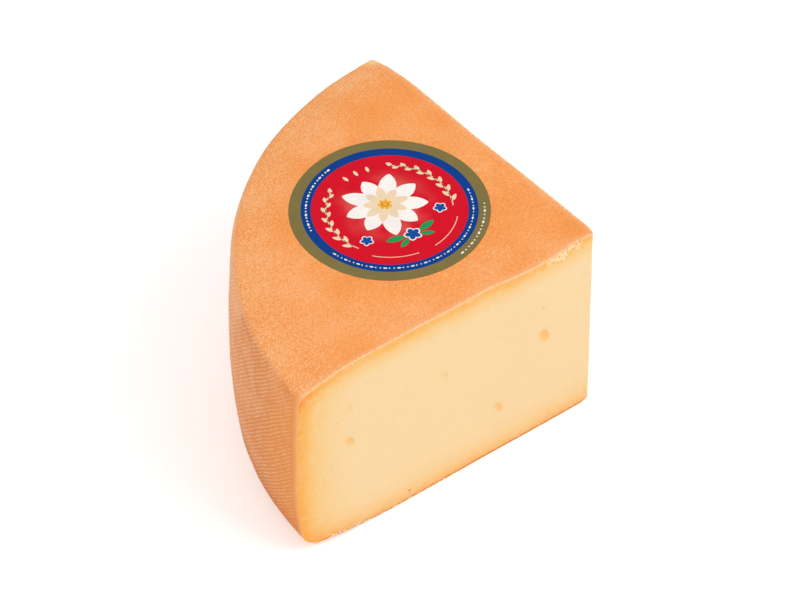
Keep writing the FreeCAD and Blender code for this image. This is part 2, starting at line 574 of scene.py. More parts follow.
@dataclass
class CheeseBody:
    """The quarter itself, one closed mesh with the paste and the rind as its two finishes."""

    wheel: Wheel
    label_centre: Vector
    label_radius: float
    columns: int = 264
    rows: int = 144
    rings: int = 50
    crowding: float = 0.7
    first_splits: int = 2
    second_splits: int = 1
    mark_cuts: int = 2
    mark_reach: float = 1.5
    edge_reach: float = 6.0 * MM
    crown_zone: Pair = (84 * MM, 94 * MM)
    base_zone: Pair = (12 * MM, 6 * MM)
    rim_zone: Pair = (134 * MM, 144 * MM)
    cut_zone: Pair = (4 * MM, 0.0)
    crown_waves: Relief = Relief(36 * MM, 3.1, 0.4 * MM)
    crown_lumps: Relief = Relief(8 * MM, 7.7, 0.16 * MM)
    crown_grain: Relief = Relief(2.2 * MM, 1.3, 0.22 * MM)
    lumps_zone: Pair = (100 * MM, 125 * MM)
    grain_zone: Pair = (122 * MM, 140 * MM)
    bare_from_label: float = 1.2
    base_waves: Relief = Relief(20 * MM, 5.2, 0.4 * MM)
    base_grain: Relief = Relief(3 * MM, 2.2, 0.25 * MM)
    base_rise: float = 25 * MM
    rim_waves: Relief = Relief(34 * MM, 4.3, 0.9 * MM)
    rim_grain: Relief = Relief(6 * MM, 3.9, 0.22 * MM)
    cut_waves: Relief = Relief(30 * MM, 9.4, 0.3 * MM)
    cut_grain: Relief = Relief(5 * MM, 4.8, 0.06 * MM)
    bites: Relief = Relief(1.5 * MM, 2.9, 0.4 * MM, 3)
    bitten_from: float = 0.98
    base_bites: float = 0.4
    chipped: float = 1.1 * MM
    chipped_zone: Pair = (5 * MM, 1 * MM)
    chipped_low: Pair = (8 * MM, 0.0)
    chipped_high: Pair = (90 * MM, 100 * MM)
    torn_from: float = 6.5 * MM
    torn_to: float = 27.5 * MM
    torn_ends: Pair = (0.6, 1.15)
    torn_low: float = 96.4 * MM
    torn_soft: float = 0.8 * MM
    torn_bays: float = 2.6 * MM
    torn_bay_length: float = 3.7 * MM
    torn_bays_end: float = 40 * MM
    torn_depth: float = 0.4 * MM
    torn_least: float = 0.3
    torn_seen: float = 0.05
    lumps: Relief = Relief(1.5 * MM, 6.1)
    lumps_steep: Pair = (0.32, 0.62)
    eye_ragged: float = 0.3
    eye_edges: Relief = Relief(1.4 * MM, 5.5)
    eye_specks: Relief = Relief(0.9 * MM, 8.8)
    specks_steep: Pair = (0.45, 0.6)
    first_eyes: tuple[Eye, ...] = (
        Eye(26.8 * MM, 55.9 * MM, 2.7 * MM),
        Eye(50.1 * MM, 26.5 * MM, 2.1 * MM, stain=0.6),
        Eye(78.7 * MM, 63.1 * MM, 1.6 * MM, stain=0.3),
        Eye(127.6 * MM, 55.1 * MM, 2.4 * MM, tall=1.05, stain=0.65),
        Eye(127.4 * MM, 74.5 * MM, 1.4 * MM, stain=0.25),
    )
    second_eyes: tuple[Eye, ...] = (
        Eye(38.0 * MM, 70.5 * MM, 2.3 * MM),
        Eye(61.0 * MM, 38.0 * MM, 1.6 * MM, stain=0.5),
        Eye(92.0 * MM, 60.0 * MM, 2.6 * MM),
        Eye(117.0 * MM, 29.0 * MM, 1.8 * MM, stain=0.6),
    )

    def build(self, paste: Material, rind: Material) -> Object:
        """Make the mesh and dress it.

        Args:
            paste: Finish of the two cut faces.
            rind: Finish of the crown, the side and the base.

        Returns:
            The finished piece.
        """
        bm = self.blank()
        self.split_cuts(bm)
        self.shape(bm)
        self.split_near_marks(bm)
        self.carve(bm)
        self.flatten_base(bm)
        bmesh.ops.recalc_face_normals(bm, faces=bm.faces)
        for edge in bm.edges:
            edge.smooth = len({face.material_index for face in edge.link_faces}) == 1
        for name in ("out", "up", "turn"):
            bm.verts.layers.float.remove(bm.verts.layers.float[name])
        return finish_mesh(bm, "cheese_body", (paste, rind))

    def blank(self) -> BMesh:
        """Sweep an even grid round the tip into a closed block, which shape() then forms.

        Returns:
            The block, 1 high and 1 deep, its first cut over the X axis.
        """
        bm = bmesh.new()
        upright = Matrix.Translation((0.5, 0.0, 0.5)) @ Matrix.Rotation(math.pi / 2, 4, "X")
        bmesh.ops.create_grid(bm, x_segments=self.rings, y_segments=self.rows, size=0.5, matrix=upright)
        outline = [
            edge for edge in bm.edges if edge.is_boundary and any(vert.co.x > TINY for vert in edge.verts)
        ]
        corners = list({vert for edge in outline for vert in edge.verts})
        last = bmesh.ops.duplicate(bm, geom=bm.faces[:])["geom"]
        turn_round = Matrix.Rotation(self.wheel.angle, 3, "Z")
        bmesh.ops.rotate(bm, verts=verts_among(last), cent=(0, 0, 0), matrix=turn_round)
        spin_round(bm, outline + corners, self.wheel.angle, self.columns)
        bmesh.ops.remove_doubles(bm, verts=bm.verts, dist=CLOSE)
        for face in bm.faces:
            middle = face.calc_center_median()
            turn = math.atan2(middle.y, middle.x)
            on_cut = min(turn, self.wheel.angle - turn) < CLOSE and face.normal.z < 0.5
            face.material_index = 0 if on_cut else 1
        return bm

    def split_cuts(self, bm: BMesh) -> None:
        """Give both cut faces finer columns than the crown has rings.

        Args:
            bm: The block.
        """
        for last, cuts in ((False, self.first_splits), (True, self.second_splits)):
            turned = self.wheel.angle if last else 0.0
            level = [
                edge for edge in bm.edges
                if abs(edge.verts[0].co.z - edge.verts[1].co.z) < TINY
                and all(self.on_turn(vert.co, turned) for vert in edge.verts)
            ]
            bmesh.ops.subdivide_edges(bm, edges=level, cuts=cuts, use_grid_fill=True)

    @staticmethod
    def on_turn(place: Vector, turned: float) -> bool:
        """Whether a place of the block lies on the cut that is turned by that angle."""
        away = math.hypot(place.x, place.y)
        return away < CLOSE or abs(math.atan2(place.y, place.x) - turned) * away < 2 * CLOSE

    def shape(self, bm: BMesh) -> None:
        """Bring the block into the quarter's form.

        Args:
            bm: The block, whose vertices keep where they were as shares.
        """
        layers = [bm.verts.layers.float.new(name) for name in ("out", "up", "turn")]
        sides = self.wheel.side_points(self.rows)
        for vert in bm.verts:
            even = math.hypot(vert.co.x, vert.co.y)
            turn = math.atan2(vert.co.y, vert.co.x) / self.wheel.angle if even > CLOSE else 0.5
            out = even - self.crowding * math.sin(2 * math.pi * even) / (2 * math.pi)
            shares = [min(max(share, 0.0), 1.0) for share in (out, vert.co.z, turn)]
            for layer, share in zip(layers, shares):
                vert[layer] = share
            vert.co = self.wheel.spot(*shares, sides)

    def along_cut(self, place: Vector, surface: Surface) -> float:
        """Distance of a place from the tip, along one of the cuts."""
        return (place - self.wheel.tip).dot(towards(self.wheel.heading(surface)))

    def surfaces_of(self, out: float, up: float, turn: float) -> list[Surface]:
        """Surfaces on which a vertex lies.

        Args:
            out: 0 at the tip, 1 at the rim.
            up: 0 at the base, 1 at the crown.
            turn: 0 at the first cut, 1 at the second.

        Returns:
            One surface, or those that meet at the vertex.
        """
        near = 1e-4
        tests = (
            (up > 1 - near, Surface.CROWN),
            (up < near, Surface.BASE),
            (out > 1 - near, Surface.RIM),
            (turn < near or out < near, Surface.FIRST_CUT),
            (turn > 1 - near or out < near, Surface.SECOND_CUT),
        )
        return [surface for met, surface in tests if met]

    def torn(self, place: Vector) -> float:
        """How crumbled the first cut is at a place: a patch under the crown, near the tip.

        Args:
            place: Place on the first cut.

        Returns:
            The share of damage, from 0 to 1.
        """
        distance = self.along_cut(place, Surface.FIRST_CUT)
        middle, half = (self.torn_from + self.torn_to) / 2, (self.torn_to - self.torn_from) / 2
        sideways = 1 - smooth(abs(distance - middle) / half, *self.torn_ends)
        bays = self.torn_bays * abs(math.sin(distance / self.torn_bay_length))
        floor = self.torn_low - bays * (1 - distance / self.torn_bays_end)
        return sideways * smooth(place.z, floor - self.torn_soft, floor + self.torn_soft)

    def lumpy(self, place: Vector) -> float:
        """Relief of the crumbled patch, from 0 in its hollows to 1 on its lumps."""
        return smooth(self.lumps.at(place), *self.lumps_steep)

    def split_near_marks(self, bm: BMesh) -> None:
        """Refine the cut faces round their eyes and at the crumbled patch.

        Args:
            bm: The formed mesh.
        """
        edges = set()
        for face in bm.faces:
            if face.material_index:
                continue
            middle = face.calc_center_median()
            first = abs(middle.y - self.wheel.tip.y) < abs(middle.x - self.wheel.tip.x)
            surface = Surface.FIRST_CUT if first else Surface.SECOND_CUT
            distance = self.along_cut(middle, surface)
            marked = any(eye.away(distance, middle.z) < self.mark_reach for eye in self.eyes_of(surface))
            if marked or (first and self.torn(middle) > self.torn_seen):
                edges.update(face.edges)
        bmesh.ops.subdivide_edges(bm, edges=list(edges), cuts=self.mark_cuts, use_grid_fill=True)

    def eyes_of(self, surface: Surface) -> tuple[Eye, ...]:
        """The eyes of one cut face."""
        return self.first_eyes if surface is Surface.FIRST_CUT else self.second_eyes

    def carve(self, bm: BMesh) -> None:
        """Press the relief of every surface inward and note the marks for the finishes.

        Args:
            bm: The formed mesh.
        """
        out, up, turn = (bm.verts.layers.float[name] for name in ("out", "up", "turn"))
        eye_layer, torn_layer = bm.verts.layers.float.new("eye"), bm.verts.layers.float.new("torn")
        edge_layer = bm.verts.layers.float.new("edge")
        inward = {surface: self.wheel.inward(surface) for surface in (Surface.FIRST_CUT, Surface.SECOND_CUT)}
        inward |= {Surface.CROWN: Vector((0, 0, -1)), Surface.BASE: Vector((0, 0, 1))}
        for vert in bm.verts:
            place = vert.co.copy()
            surfaces = self.surfaces_of(vert[out], vert[up], vert[turn])
            to_tip = math.hypot(place.x - self.wheel.tip.x, place.y - self.wheel.tip.y)
            to_cut = to_tip * self.wheel.angle * min(vert[turn], 1 - vert[turn])
            vert[edge_layer] = max(1 - to_cut / self.edge_reach, 0.0)
            ends = smooth(place.z, *self.chipped_low) - smooth(place.z, *self.chipped_high)
            vert.co.z += self.chipped * smooth(to_tip, *self.chipped_zone) * ends
            inward[Surface.RIM] = ((self.wheel.axis - place) * Vector((1, 1, 0))).normalized()
            sweep = to_tip * self.wheel.angle
            for surface, share in self.shares(place, sweep * vert[turn], sweep * (1 - vert[turn])):
                vert.co += inward[surface] * share * self.relief(place, surface)
            bitten = self.bites.at(place) * (vert[edge_layer] > self.bitten_from)
            for surface in surfaces:
                if surface in (Surface.CROWN, Surface.BASE):
                    bite = bitten if surface is Surface.CROWN else bitten * self.base_bites
                    vert.co += inward[surface] * bite
                if surface in (Surface.FIRST_CUT, Surface.SECOND_CUT):
                    pit, stain = self.pit(place, surface)
                    vert.co += inward[surface] * pit
                    vert[eye_layer] = max(vert[eye_layer], stain)
                if surface is Surface.FIRST_CUT:
                    lumpy = self.torn_least + (1 - self.torn_least) * self.lumpy(place)
                    vert[torn_layer] = self.torn(place) * lumpy

    def shares(self, place: Vector, to_first: float, to_second: float) -> list[tuple[Surface, float]]:
        """Surfaces whose relief a place takes on: all of it on the surface itself, less away from it.

        Args:
            place: The place, on any surface.
            to_first: Its distance from the first cut.
            to_second: Its distance from the second cut.

        Returns:
            Each such surface with its share, from 0 to 1.
        """
        shares = (
            (Surface.CROWN, smooth(place.z, *self.crown_zone)),
            (Surface.BASE, smooth(place.z, *self.base_zone)),
            (Surface.RIM, smooth(self.wheel.from_axis(place), *self.rim_zone)),
            (Surface.FIRST_CUT, smooth(to_first, *self.cut_zone)),
            (Surface.SECOND_CUT, smooth(to_second, *self.cut_zone)),
        )
        return [(surface, share) for surface, share in shares if share > 0]

    def relief(self, place: Vector, surface: Surface) -> float:
        """Depth of the relief of a surface.

        Args:
            place: Place on the surface.
            surface: Which surface it is.

        Returns:
            The depth, in metres.
        """
        radius = self.wheel.from_axis(place)
        if surface is Surface.CROWN:
            to_label = math.hypot(place.x - self.label_centre.x, place.y - self.label_centre.y)
            bare = smooth(to_label, self.label_radius, self.bare_from_label * self.label_radius)
            lumps = self.crown_lumps.at(place) * smooth(radius, *self.lumps_zone)
            grain = self.crown_grain.at(place) * smooth(radius, *self.grain_zone)
            return (self.crown_waves.at(place) + lumps + grain) * bare
        if surface is Surface.BASE:
            lifted = smooth(radius, self.wheel.base_flat, self.wheel.base_flat + self.base_rise)
            return (self.base_waves.at(place) + self.base_grain.at(place)) * lifted
        if surface is Surface.RIM:
            return self.rim_waves.at(place) + self.rim_grain.at(place)
        crumbled = self.torn_depth * (1 - self.lumpy(place)) if surface is Surface.FIRST_CUT else 0.0
        return self.cut_waves.at(place) + self.cut_grain.at(place) + crumbled * self.torn(place)

    def pit(self, place: Vector, surface: Surface) -> Pair:
        """Depth of the eyes at a place of a cut, and how stained it is there.

        Args:
            place: Place on the cut.
            surface: Which of the two cuts it is.

        Returns:
            The depth in metres, and the stain from 0 to 1.
        """
        depth, stain = 0.0, 0.0
        distance = self.along_cut(place, surface)
        ragged = 1 + self.eye_ragged * (self.eye_edges.at(place) - 0.5)
        speckled = smooth(self.eye_specks.at(place), *self.specks_steep)
        for eye in self.eyes_of(surface):
            away = eye.away(distance, place.z, ragged)
            if away < 1:
                depth = eye.depth * eye.radius * (1 - away * away)
            stain = max(stain, eye.stained(away, speckled))
        return depth, stain

    def flatten_base(self, bm: BMesh) -> None:
        """Join the flat of the base into one face.

        Args:
            bm: The formed mesh.
        """
        flat = [
            face for face in bm.faces
            if face.material_index == 1 and all(abs(vert.co.z) < TINY for vert in face.verts)
        ]
        bmesh.ops.dissolve_faces(bm, faces=flat, use_verts=False)


# ----------------------------------------
# The label


@dataclass
class PaperLabel:
    """Round paper label, printed in rings, which lies on the crown all over."""

    wheel: Wheel
    centre: Vector
    radius: float
    paper: float = 0.11 * MM
    sunk: float = 0.1 * MM
    segments: int = 160
    step: float = 2.5 * MM
    rings: tuple[float, ...] = (0.78, 0.88, 1.0)
    turned: float = math.radians(-3.7)

    def drape(self, bm: BMesh, lift: float, thickness: float) -> None:
        """Lay flat faces on the crown and give them their thickness.

        Args:
            bm: Faces drawn flat round the label's own centre; they face up.
            lift: Height of their top over the crown.
            thickness: How far they reach down from there.
        """
        bmesh.ops.rotate(bm, verts=bm.verts, cent=(0, 0, 0), matrix=Matrix.Rotation(self.turned, 3, "Z"))
        bmesh.ops.translate(bm, verts=bm.verts, vec=self.centre * Vector((1, 1, 0)))
        for vert in bm.verts:
            vert.co.z += self.wheel.crown_height(self.wheel.from_axis(vert.co)) + lift
        lower = bmesh.ops.extrude_face_region(bm, geom=bm.faces[:])["geom"]
        bmesh.ops.translate(bm, verts=verts_among(lower), vec=(0, 0, -thickness))
        bmesh.ops.recalc_face_normals(bm, faces=bm.faces)

    def build(self, finishes: list[Material]) -> Object:
        """Make the paper with a ring of its own for each printed colour.

        Args:
            finishes: One finish for each of the rings, from the middle outwards.

        Returns:
            The finished piece.
        """
        bm = bmesh.new()
        marks = [0.0]
        for ring in self.rings:
            steps = max(int((ring - marks[-1]) * self.radius / self.step), 1)
            start = marks[-1]
            marks += [start + (ring - start) * (step + 1) / steps for step in range(steps)]
        spots = [bm.verts.new((mark * self.radius, 0, 0)) for mark in marks]
        spokes = [bm.edges.new(pair) for pair in zip(spots, spots[1:])]
        spin_round(bm, spots + spokes, 2 * math.pi, self.segments, merge=True)
        bmesh.ops.remove_doubles(bm, verts=bm.verts, dist=TINY)
        for face in bm.faces:
            share = face.calc_center_median().length / self.radius
            face.material_index = sum(share > ring for ring in self.rings[:-1])
        self.drape(bm, self.paper, self.paper + self.sunk)
        return finish_mesh(bm, "label_paper", finishes, SHARP)


# ----------------------------------------
# What is printed on the label


@dataclass(frozen=True)
class PetalRing:
    """A ring of petals: how many, heading of the first, and where each one starts and how large it is."""

    count: int
    start: float
    root: float
    length: float
    width: float
    fullness: float
    uneven: float = 0.0
    beat: float = 0.0


@dataclass
class FlowerPrint:
    """Printed ornaments of the label: a white flower in a wreath, small bells, leaves, rules and beads."""

    label: PaperLabel
    ink: float = 0.04 * MM
    layer_rise: float = 0.024 * MM
    overlap: float = 0.008 * MM
    leaf_segments: int = 18
    leaf_pinch: float = 0.7
    dot_segments: int = 14
    band_step: float = 2.0
    flower: Pair = (0.0, 3.5 * MM)
    petals: PetalRing = PetalRing(9, 0.2, 1.6 * MM, 16.2 * MM, 7.6 * MM, 0.56, 1.2 * MM, 2.4)
    inner_petals: PetalRing = PetalRing(
        9, 0.2 + math.pi / 9, 1.2 * MM, 8.8 * MM, 4.0 * MM, 0.56, 0.8 * MM, 1.7
    )
    heart: float = 1.15 * MM
    heads: int = 7
    heads_away: float = 2.2 * MM
    head: float = 0.88 * MM
    twigs: tuple[tuple[int, float], ...] = ((1, -28.0), (-1, 208.0))
    twig_span: float = 84.0
    twig_radius: float = 26.6 * MM
    twig_width: float = 0.45 * MM
    twig_leaves: int = 13
    twig_first: float = 6.0
    twig_step: float = 6.4
    twig_lean: float = 32.0
    twig_leaf: tuple[float, float, float] = (4.6 * MM, 1.9 * MM, 0.45)
    twig_taper: float = 0.13 * MM
    leaves: tuple[tuple[float, ...], ...] = (
        (3.4 * MM, -17.2 * MM, 12.0, 8.6 * MM, 3.4 * MM),
        (2.6 * MM, -19.0 * MM, -24.0, 6.4 * MM, 2.6 * MM),
    )
    bell: PetalRing = PetalRing(5, math.pi / 2, 0.0, 1.0, 0.72, 0.6)
    bell_rim: PetalRing = PetalRing(5, math.pi / 2, 0.0, 1.2, 0.95, 0.6)
    bells: tuple[tuple[float, float, float], ...] = (
        (0.0, -17.6 * MM, 3.4 * MM), (-18.2 * MM, -10.6 * MM, 2.6 * MM), (18.2 * MM, -10.6 * MM, 2.6 * MM)
    )
    bead_rows: tuple[tuple[float, ...], ...] = (
        (104.0, 168.0, 0.829, 0.62 * MM), (196.0, 346.0, 0.829, 0.5 * MM), (286.0, 332.0, 0.94, 0.6 * MM)
    )
    bead_step: float = 3.1
    bead: float = 0.62
    lozenge_back: float = 1.25
    lozenge_length: float = 1.85 * MM
    lozenge_width: float = 1.5
    rules: tuple[Pair, ...] = ((222.0, 262.0), (278.0, 318.0))
    rule_radius: float = 28.6 * MM
    rule_width: float = 0.35 * MM
    sparks: tuple[float, ...] = (78.0, 90.0, 102.0)
    sparks_radius: float = 24.2 * MM
    spark: Pair = (3.6 * MM, 1.5 * MM)

    def put_leaf(
        self, bm: BMesh, root: Pair, heading: float, length: float, width: float,
        fullness: float = 0.5, below: int = 0,
    ) -> None:
        """Draw one pointed leaf or petal.

        Args:
            bm: Mesh that takes it.
            root: Its root, from the label's centre.
            heading: Direction in which it grows, in radians.
            length: From root to point.
            width: At its widest.
            fullness: Where it is widest, as a share of its length.
            below: Number of petals that it lies on.
        """
        leaf = bmesh.ops.create_circle(bm, cap_ends=True, segments=self.leaf_segments, radius=0.5)["verts"]
        for vert in leaf:
            along = vert.co.x + 0.5
            pinch = math.sqrt(max(4 * along * (1 - along), 0.0)) ** self.leaf_pinch
            vert.co.y *= pinch * width
            vert.co.x = along ** (math.log(fullness) / math.log(0.5)) * length
        turn = Matrix.Translation((*root, below * self.overlap)) @ Matrix.Rotation(heading, 4, "Z")
        bmesh.ops.transform(bm, verts=leaf, matrix=turn)

    def put_dot(self, bm: BMesh, place: Pair, radius: float) -> None:
        """Draw one round dot at a place that is measured from the label's centre."""
        spot = Matrix.Translation((*place, 0.0))
        bmesh.ops.create_circle(bm, cap_ends=True, segments=self.dot_segments, radius=radius, matrix=spot)

    def put_band(self, bm: BMesh, radius: float, width: float, start: float, end: float) -> None:
        """Draw part of a ring round the label's centre.

        Args:
            bm: Mesh that takes it.
            radius: Radius of its middle line.
            width: Its width.
            start: Angle at which it starts, in degrees.
            end: Angle at which it ends.
        """
        across = towards(math.radians(start))
        ends = [bm.verts.new(across * (radius + shift * width)) for shift in (-0.5, 0.5)]
        steps = max(int(abs(end - start) / self.band_step), 2)
        spin_round(bm, [*ends, bm.edges.new(ends)], math.radians(end - start), steps)

    def put_petals(
        self, bm: BMesh, centre: Pair, ring: PetalRing, size: float = 1.0
    ) -> None:
        """Draw a ring of petals.

        Args:
            bm: Mesh that takes them.
            centre: Middle of the ring, from the label's centre.
            ring: Number and form of the petals.
            size: Factor on their length and width.
        """
        for petal in range(ring.count):
            heading = ring.start + 2 * math.pi * petal / ring.count
            root = self.beside(centre, ring.root, heading)
            length = ring.length + ring.uneven * math.sin(petal * ring.beat)
            self.put_leaf(bm, root, heading, length * size, ring.width * size, ring.fullness, petal % 3)

    @staticmethod
    def beside(centre: Pair, away: float, heading: float) -> Pair:
        """Place at a distance from another, at a heading in radians."""
        return centre[0] + away * math.cos(heading), centre[1] + away * math.sin(heading)

    def round_label(self, radius: float, degrees: float) -> Pair:
        """Place at a distance and an angle from the label's centre."""
        return self.beside((0.0, 0.0), radius, math.radians(degrees))

    def draw_heart(self, bm: BMesh) -> None:
        """Draw the yellow heads in the middle of the flower.

        Args:
            bm: Mesh that takes them.
        """
        self.put_dot(bm, self.flower, self.heart)
        for head in range(self.heads):
            place = self.beside(self.flower, self.heads_away, 2 * math.pi * head / self.heads)
            self.put_dot(bm, place, self.head)

    def draw_wreath(self, bm: BMesh) -> None:
        """Draw the two cream twigs that curve up on both sides of the flower.

        Args:
            bm: Mesh that takes them.
        """
        length, width, fullness = self.twig_leaf
        for side, start in self.twigs:
            self.put_band(bm, self.twig_radius, self.twig_width, start, start + side * self.twig_span)
            for step in range(self.twig_leaves):
                angle = start + side * (self.twig_first + self.twig_step * step)
                lean = self.twig_lean if step % 2 else -self.twig_lean
                heading = math.radians(angle + side * (90 + lean))
                root = self.round_label(self.twig_radius, angle)
                self.put_leaf(bm, root, heading, length - self.twig_taper * step, width, fullness)

    def draw_leaves(self, bm: BMesh) -> None:
        """Draw the green leaves under the flower, the same to the right and to the left.

        Args:
            bm: Mesh that takes them.
        """
        for side in (1, -1):
            for aside, height, tilt, length, width in self.leaves:
                heading = math.radians(90 - side * 90 + side * tilt)
                self.put_leaf(bm, (side * aside, height), heading, length, width)

    def draw_bells(self, bm: BMesh, ring: PetalRing) -> None:
        """Draw the three small flowers under and beside the white one, with a ring of petals each."""
        for aside, height, size in self.bells:
            self.put_petals(bm, (aside, height), ring, size)

    def draw_beads(self, bm: BMesh) -> None:
        """Draw the white beads and lozenges that run round the blue ring and part of the border.

        Args:
            bm: Mesh that takes them.
        """
        for first, last, share, size in self.bead_rows:
            radius = share * self.label.radius
            count = int((last - first) / self.bead_step)
            for step in range(count + 1):
                angle = first + (last - first) * step / count
                if step % 3 == 0:
                    root = self.round_label(radius, angle - self.lozenge_back)
                    width = self.lozenge_width * size
                    self.put_leaf(bm, root, math.radians(angle + 90), self.lozenge_length, width)
                else:
                    self.put_dot(bm, self.round_label(radius, angle), self.bead * size)

    def draw_rules(self, bm: BMesh) -> None:
        """Draw the thin cream rules under the flower and the three sparks over it.

        Args:
            bm: Mesh that takes them.
        """
        for start, end in self.rules:
            self.put_band(bm, self.rule_radius, self.rule_width, start, end)
        for angle in self.sparks:
            self.put_leaf(bm, self.round_label(self.sparks_radius, angle), math.radians(angle), *self.spark)

    def print_piece(
        self, name: str, finish: Material, layer: int, draw: Callable[[BMesh], None]
    ) -> Object:
        """Draw one colour and lay it on the paper.

        Args:
            name: Name of the piece.
            finish: Its ink.
            layer: 1 for ink on paper, 2 for ink on ink, 3 for ink on both.
            draw: Draws its shapes, flat.

        Returns:
            The finished piece.
        """
        bm = bmesh.new()
        draw(bm)
        for face in bm.faces:
            if face.normal.z < 0:
                face.normal_flip()
        self.label.drape(bm, self.label.paper + layer * self.layer_rise, self.ink)
        return finish_mesh(bm, name, (finish,), SHARP)

    def build(self, inks: dict[str, Material]) -> list[Object]:
        """Print every colour.

        Args:
            inks: Ink finishes by name: white, cream, yellow, green and blue.

        Returns:
            The printed pieces.
        """
        plan = (
            ("print_petals", "white", 1, partial(self.put_petals, centre=self.flower, ring=self.petals)),
            (
                "print_inner_petals", "cream", 2,
                partial(self.put_petals, centre=self.flower, ring=self.inner_petals),
            ),
            ("print_heart", "yellow", 3, self.draw_heart),
            ("print_wreath", "cream", 1, self.draw_wreath),
            ("print_leaves", "green", 1, self.draw_leaves),
            ("print_bell_rims", "white", 1, partial(self.draw_bells, ring=self.bell_rim)),
            ("print_bells", "blue", 2, partial(self.draw_bells, ring=self.bell)),
            ("print_beads", "white", 1, self.draw_beads),
            ("print_rules", "cream", 1, self.draw_rules),
        )
        return [self.print_piece(name, inks[ink], layer, draw) for name, ink, layer, draw in plan]


# ----------------------------------------
# Finishes


@dataclass(frozen=True)
class Grain:
    """A random pattern: size of one grain, finer octaves, their strength, and how much it is stirred."""

    size: float
    detail: float = 2.0
    roughness: float = 0.5
    distortion: float = 0.0


@dataclass(frozen=True)
class Zone:
    """A soft step: where it starts, where it ends, and its height there; the end may come first."""

    low: float
    high: float
    top: float = 1.0


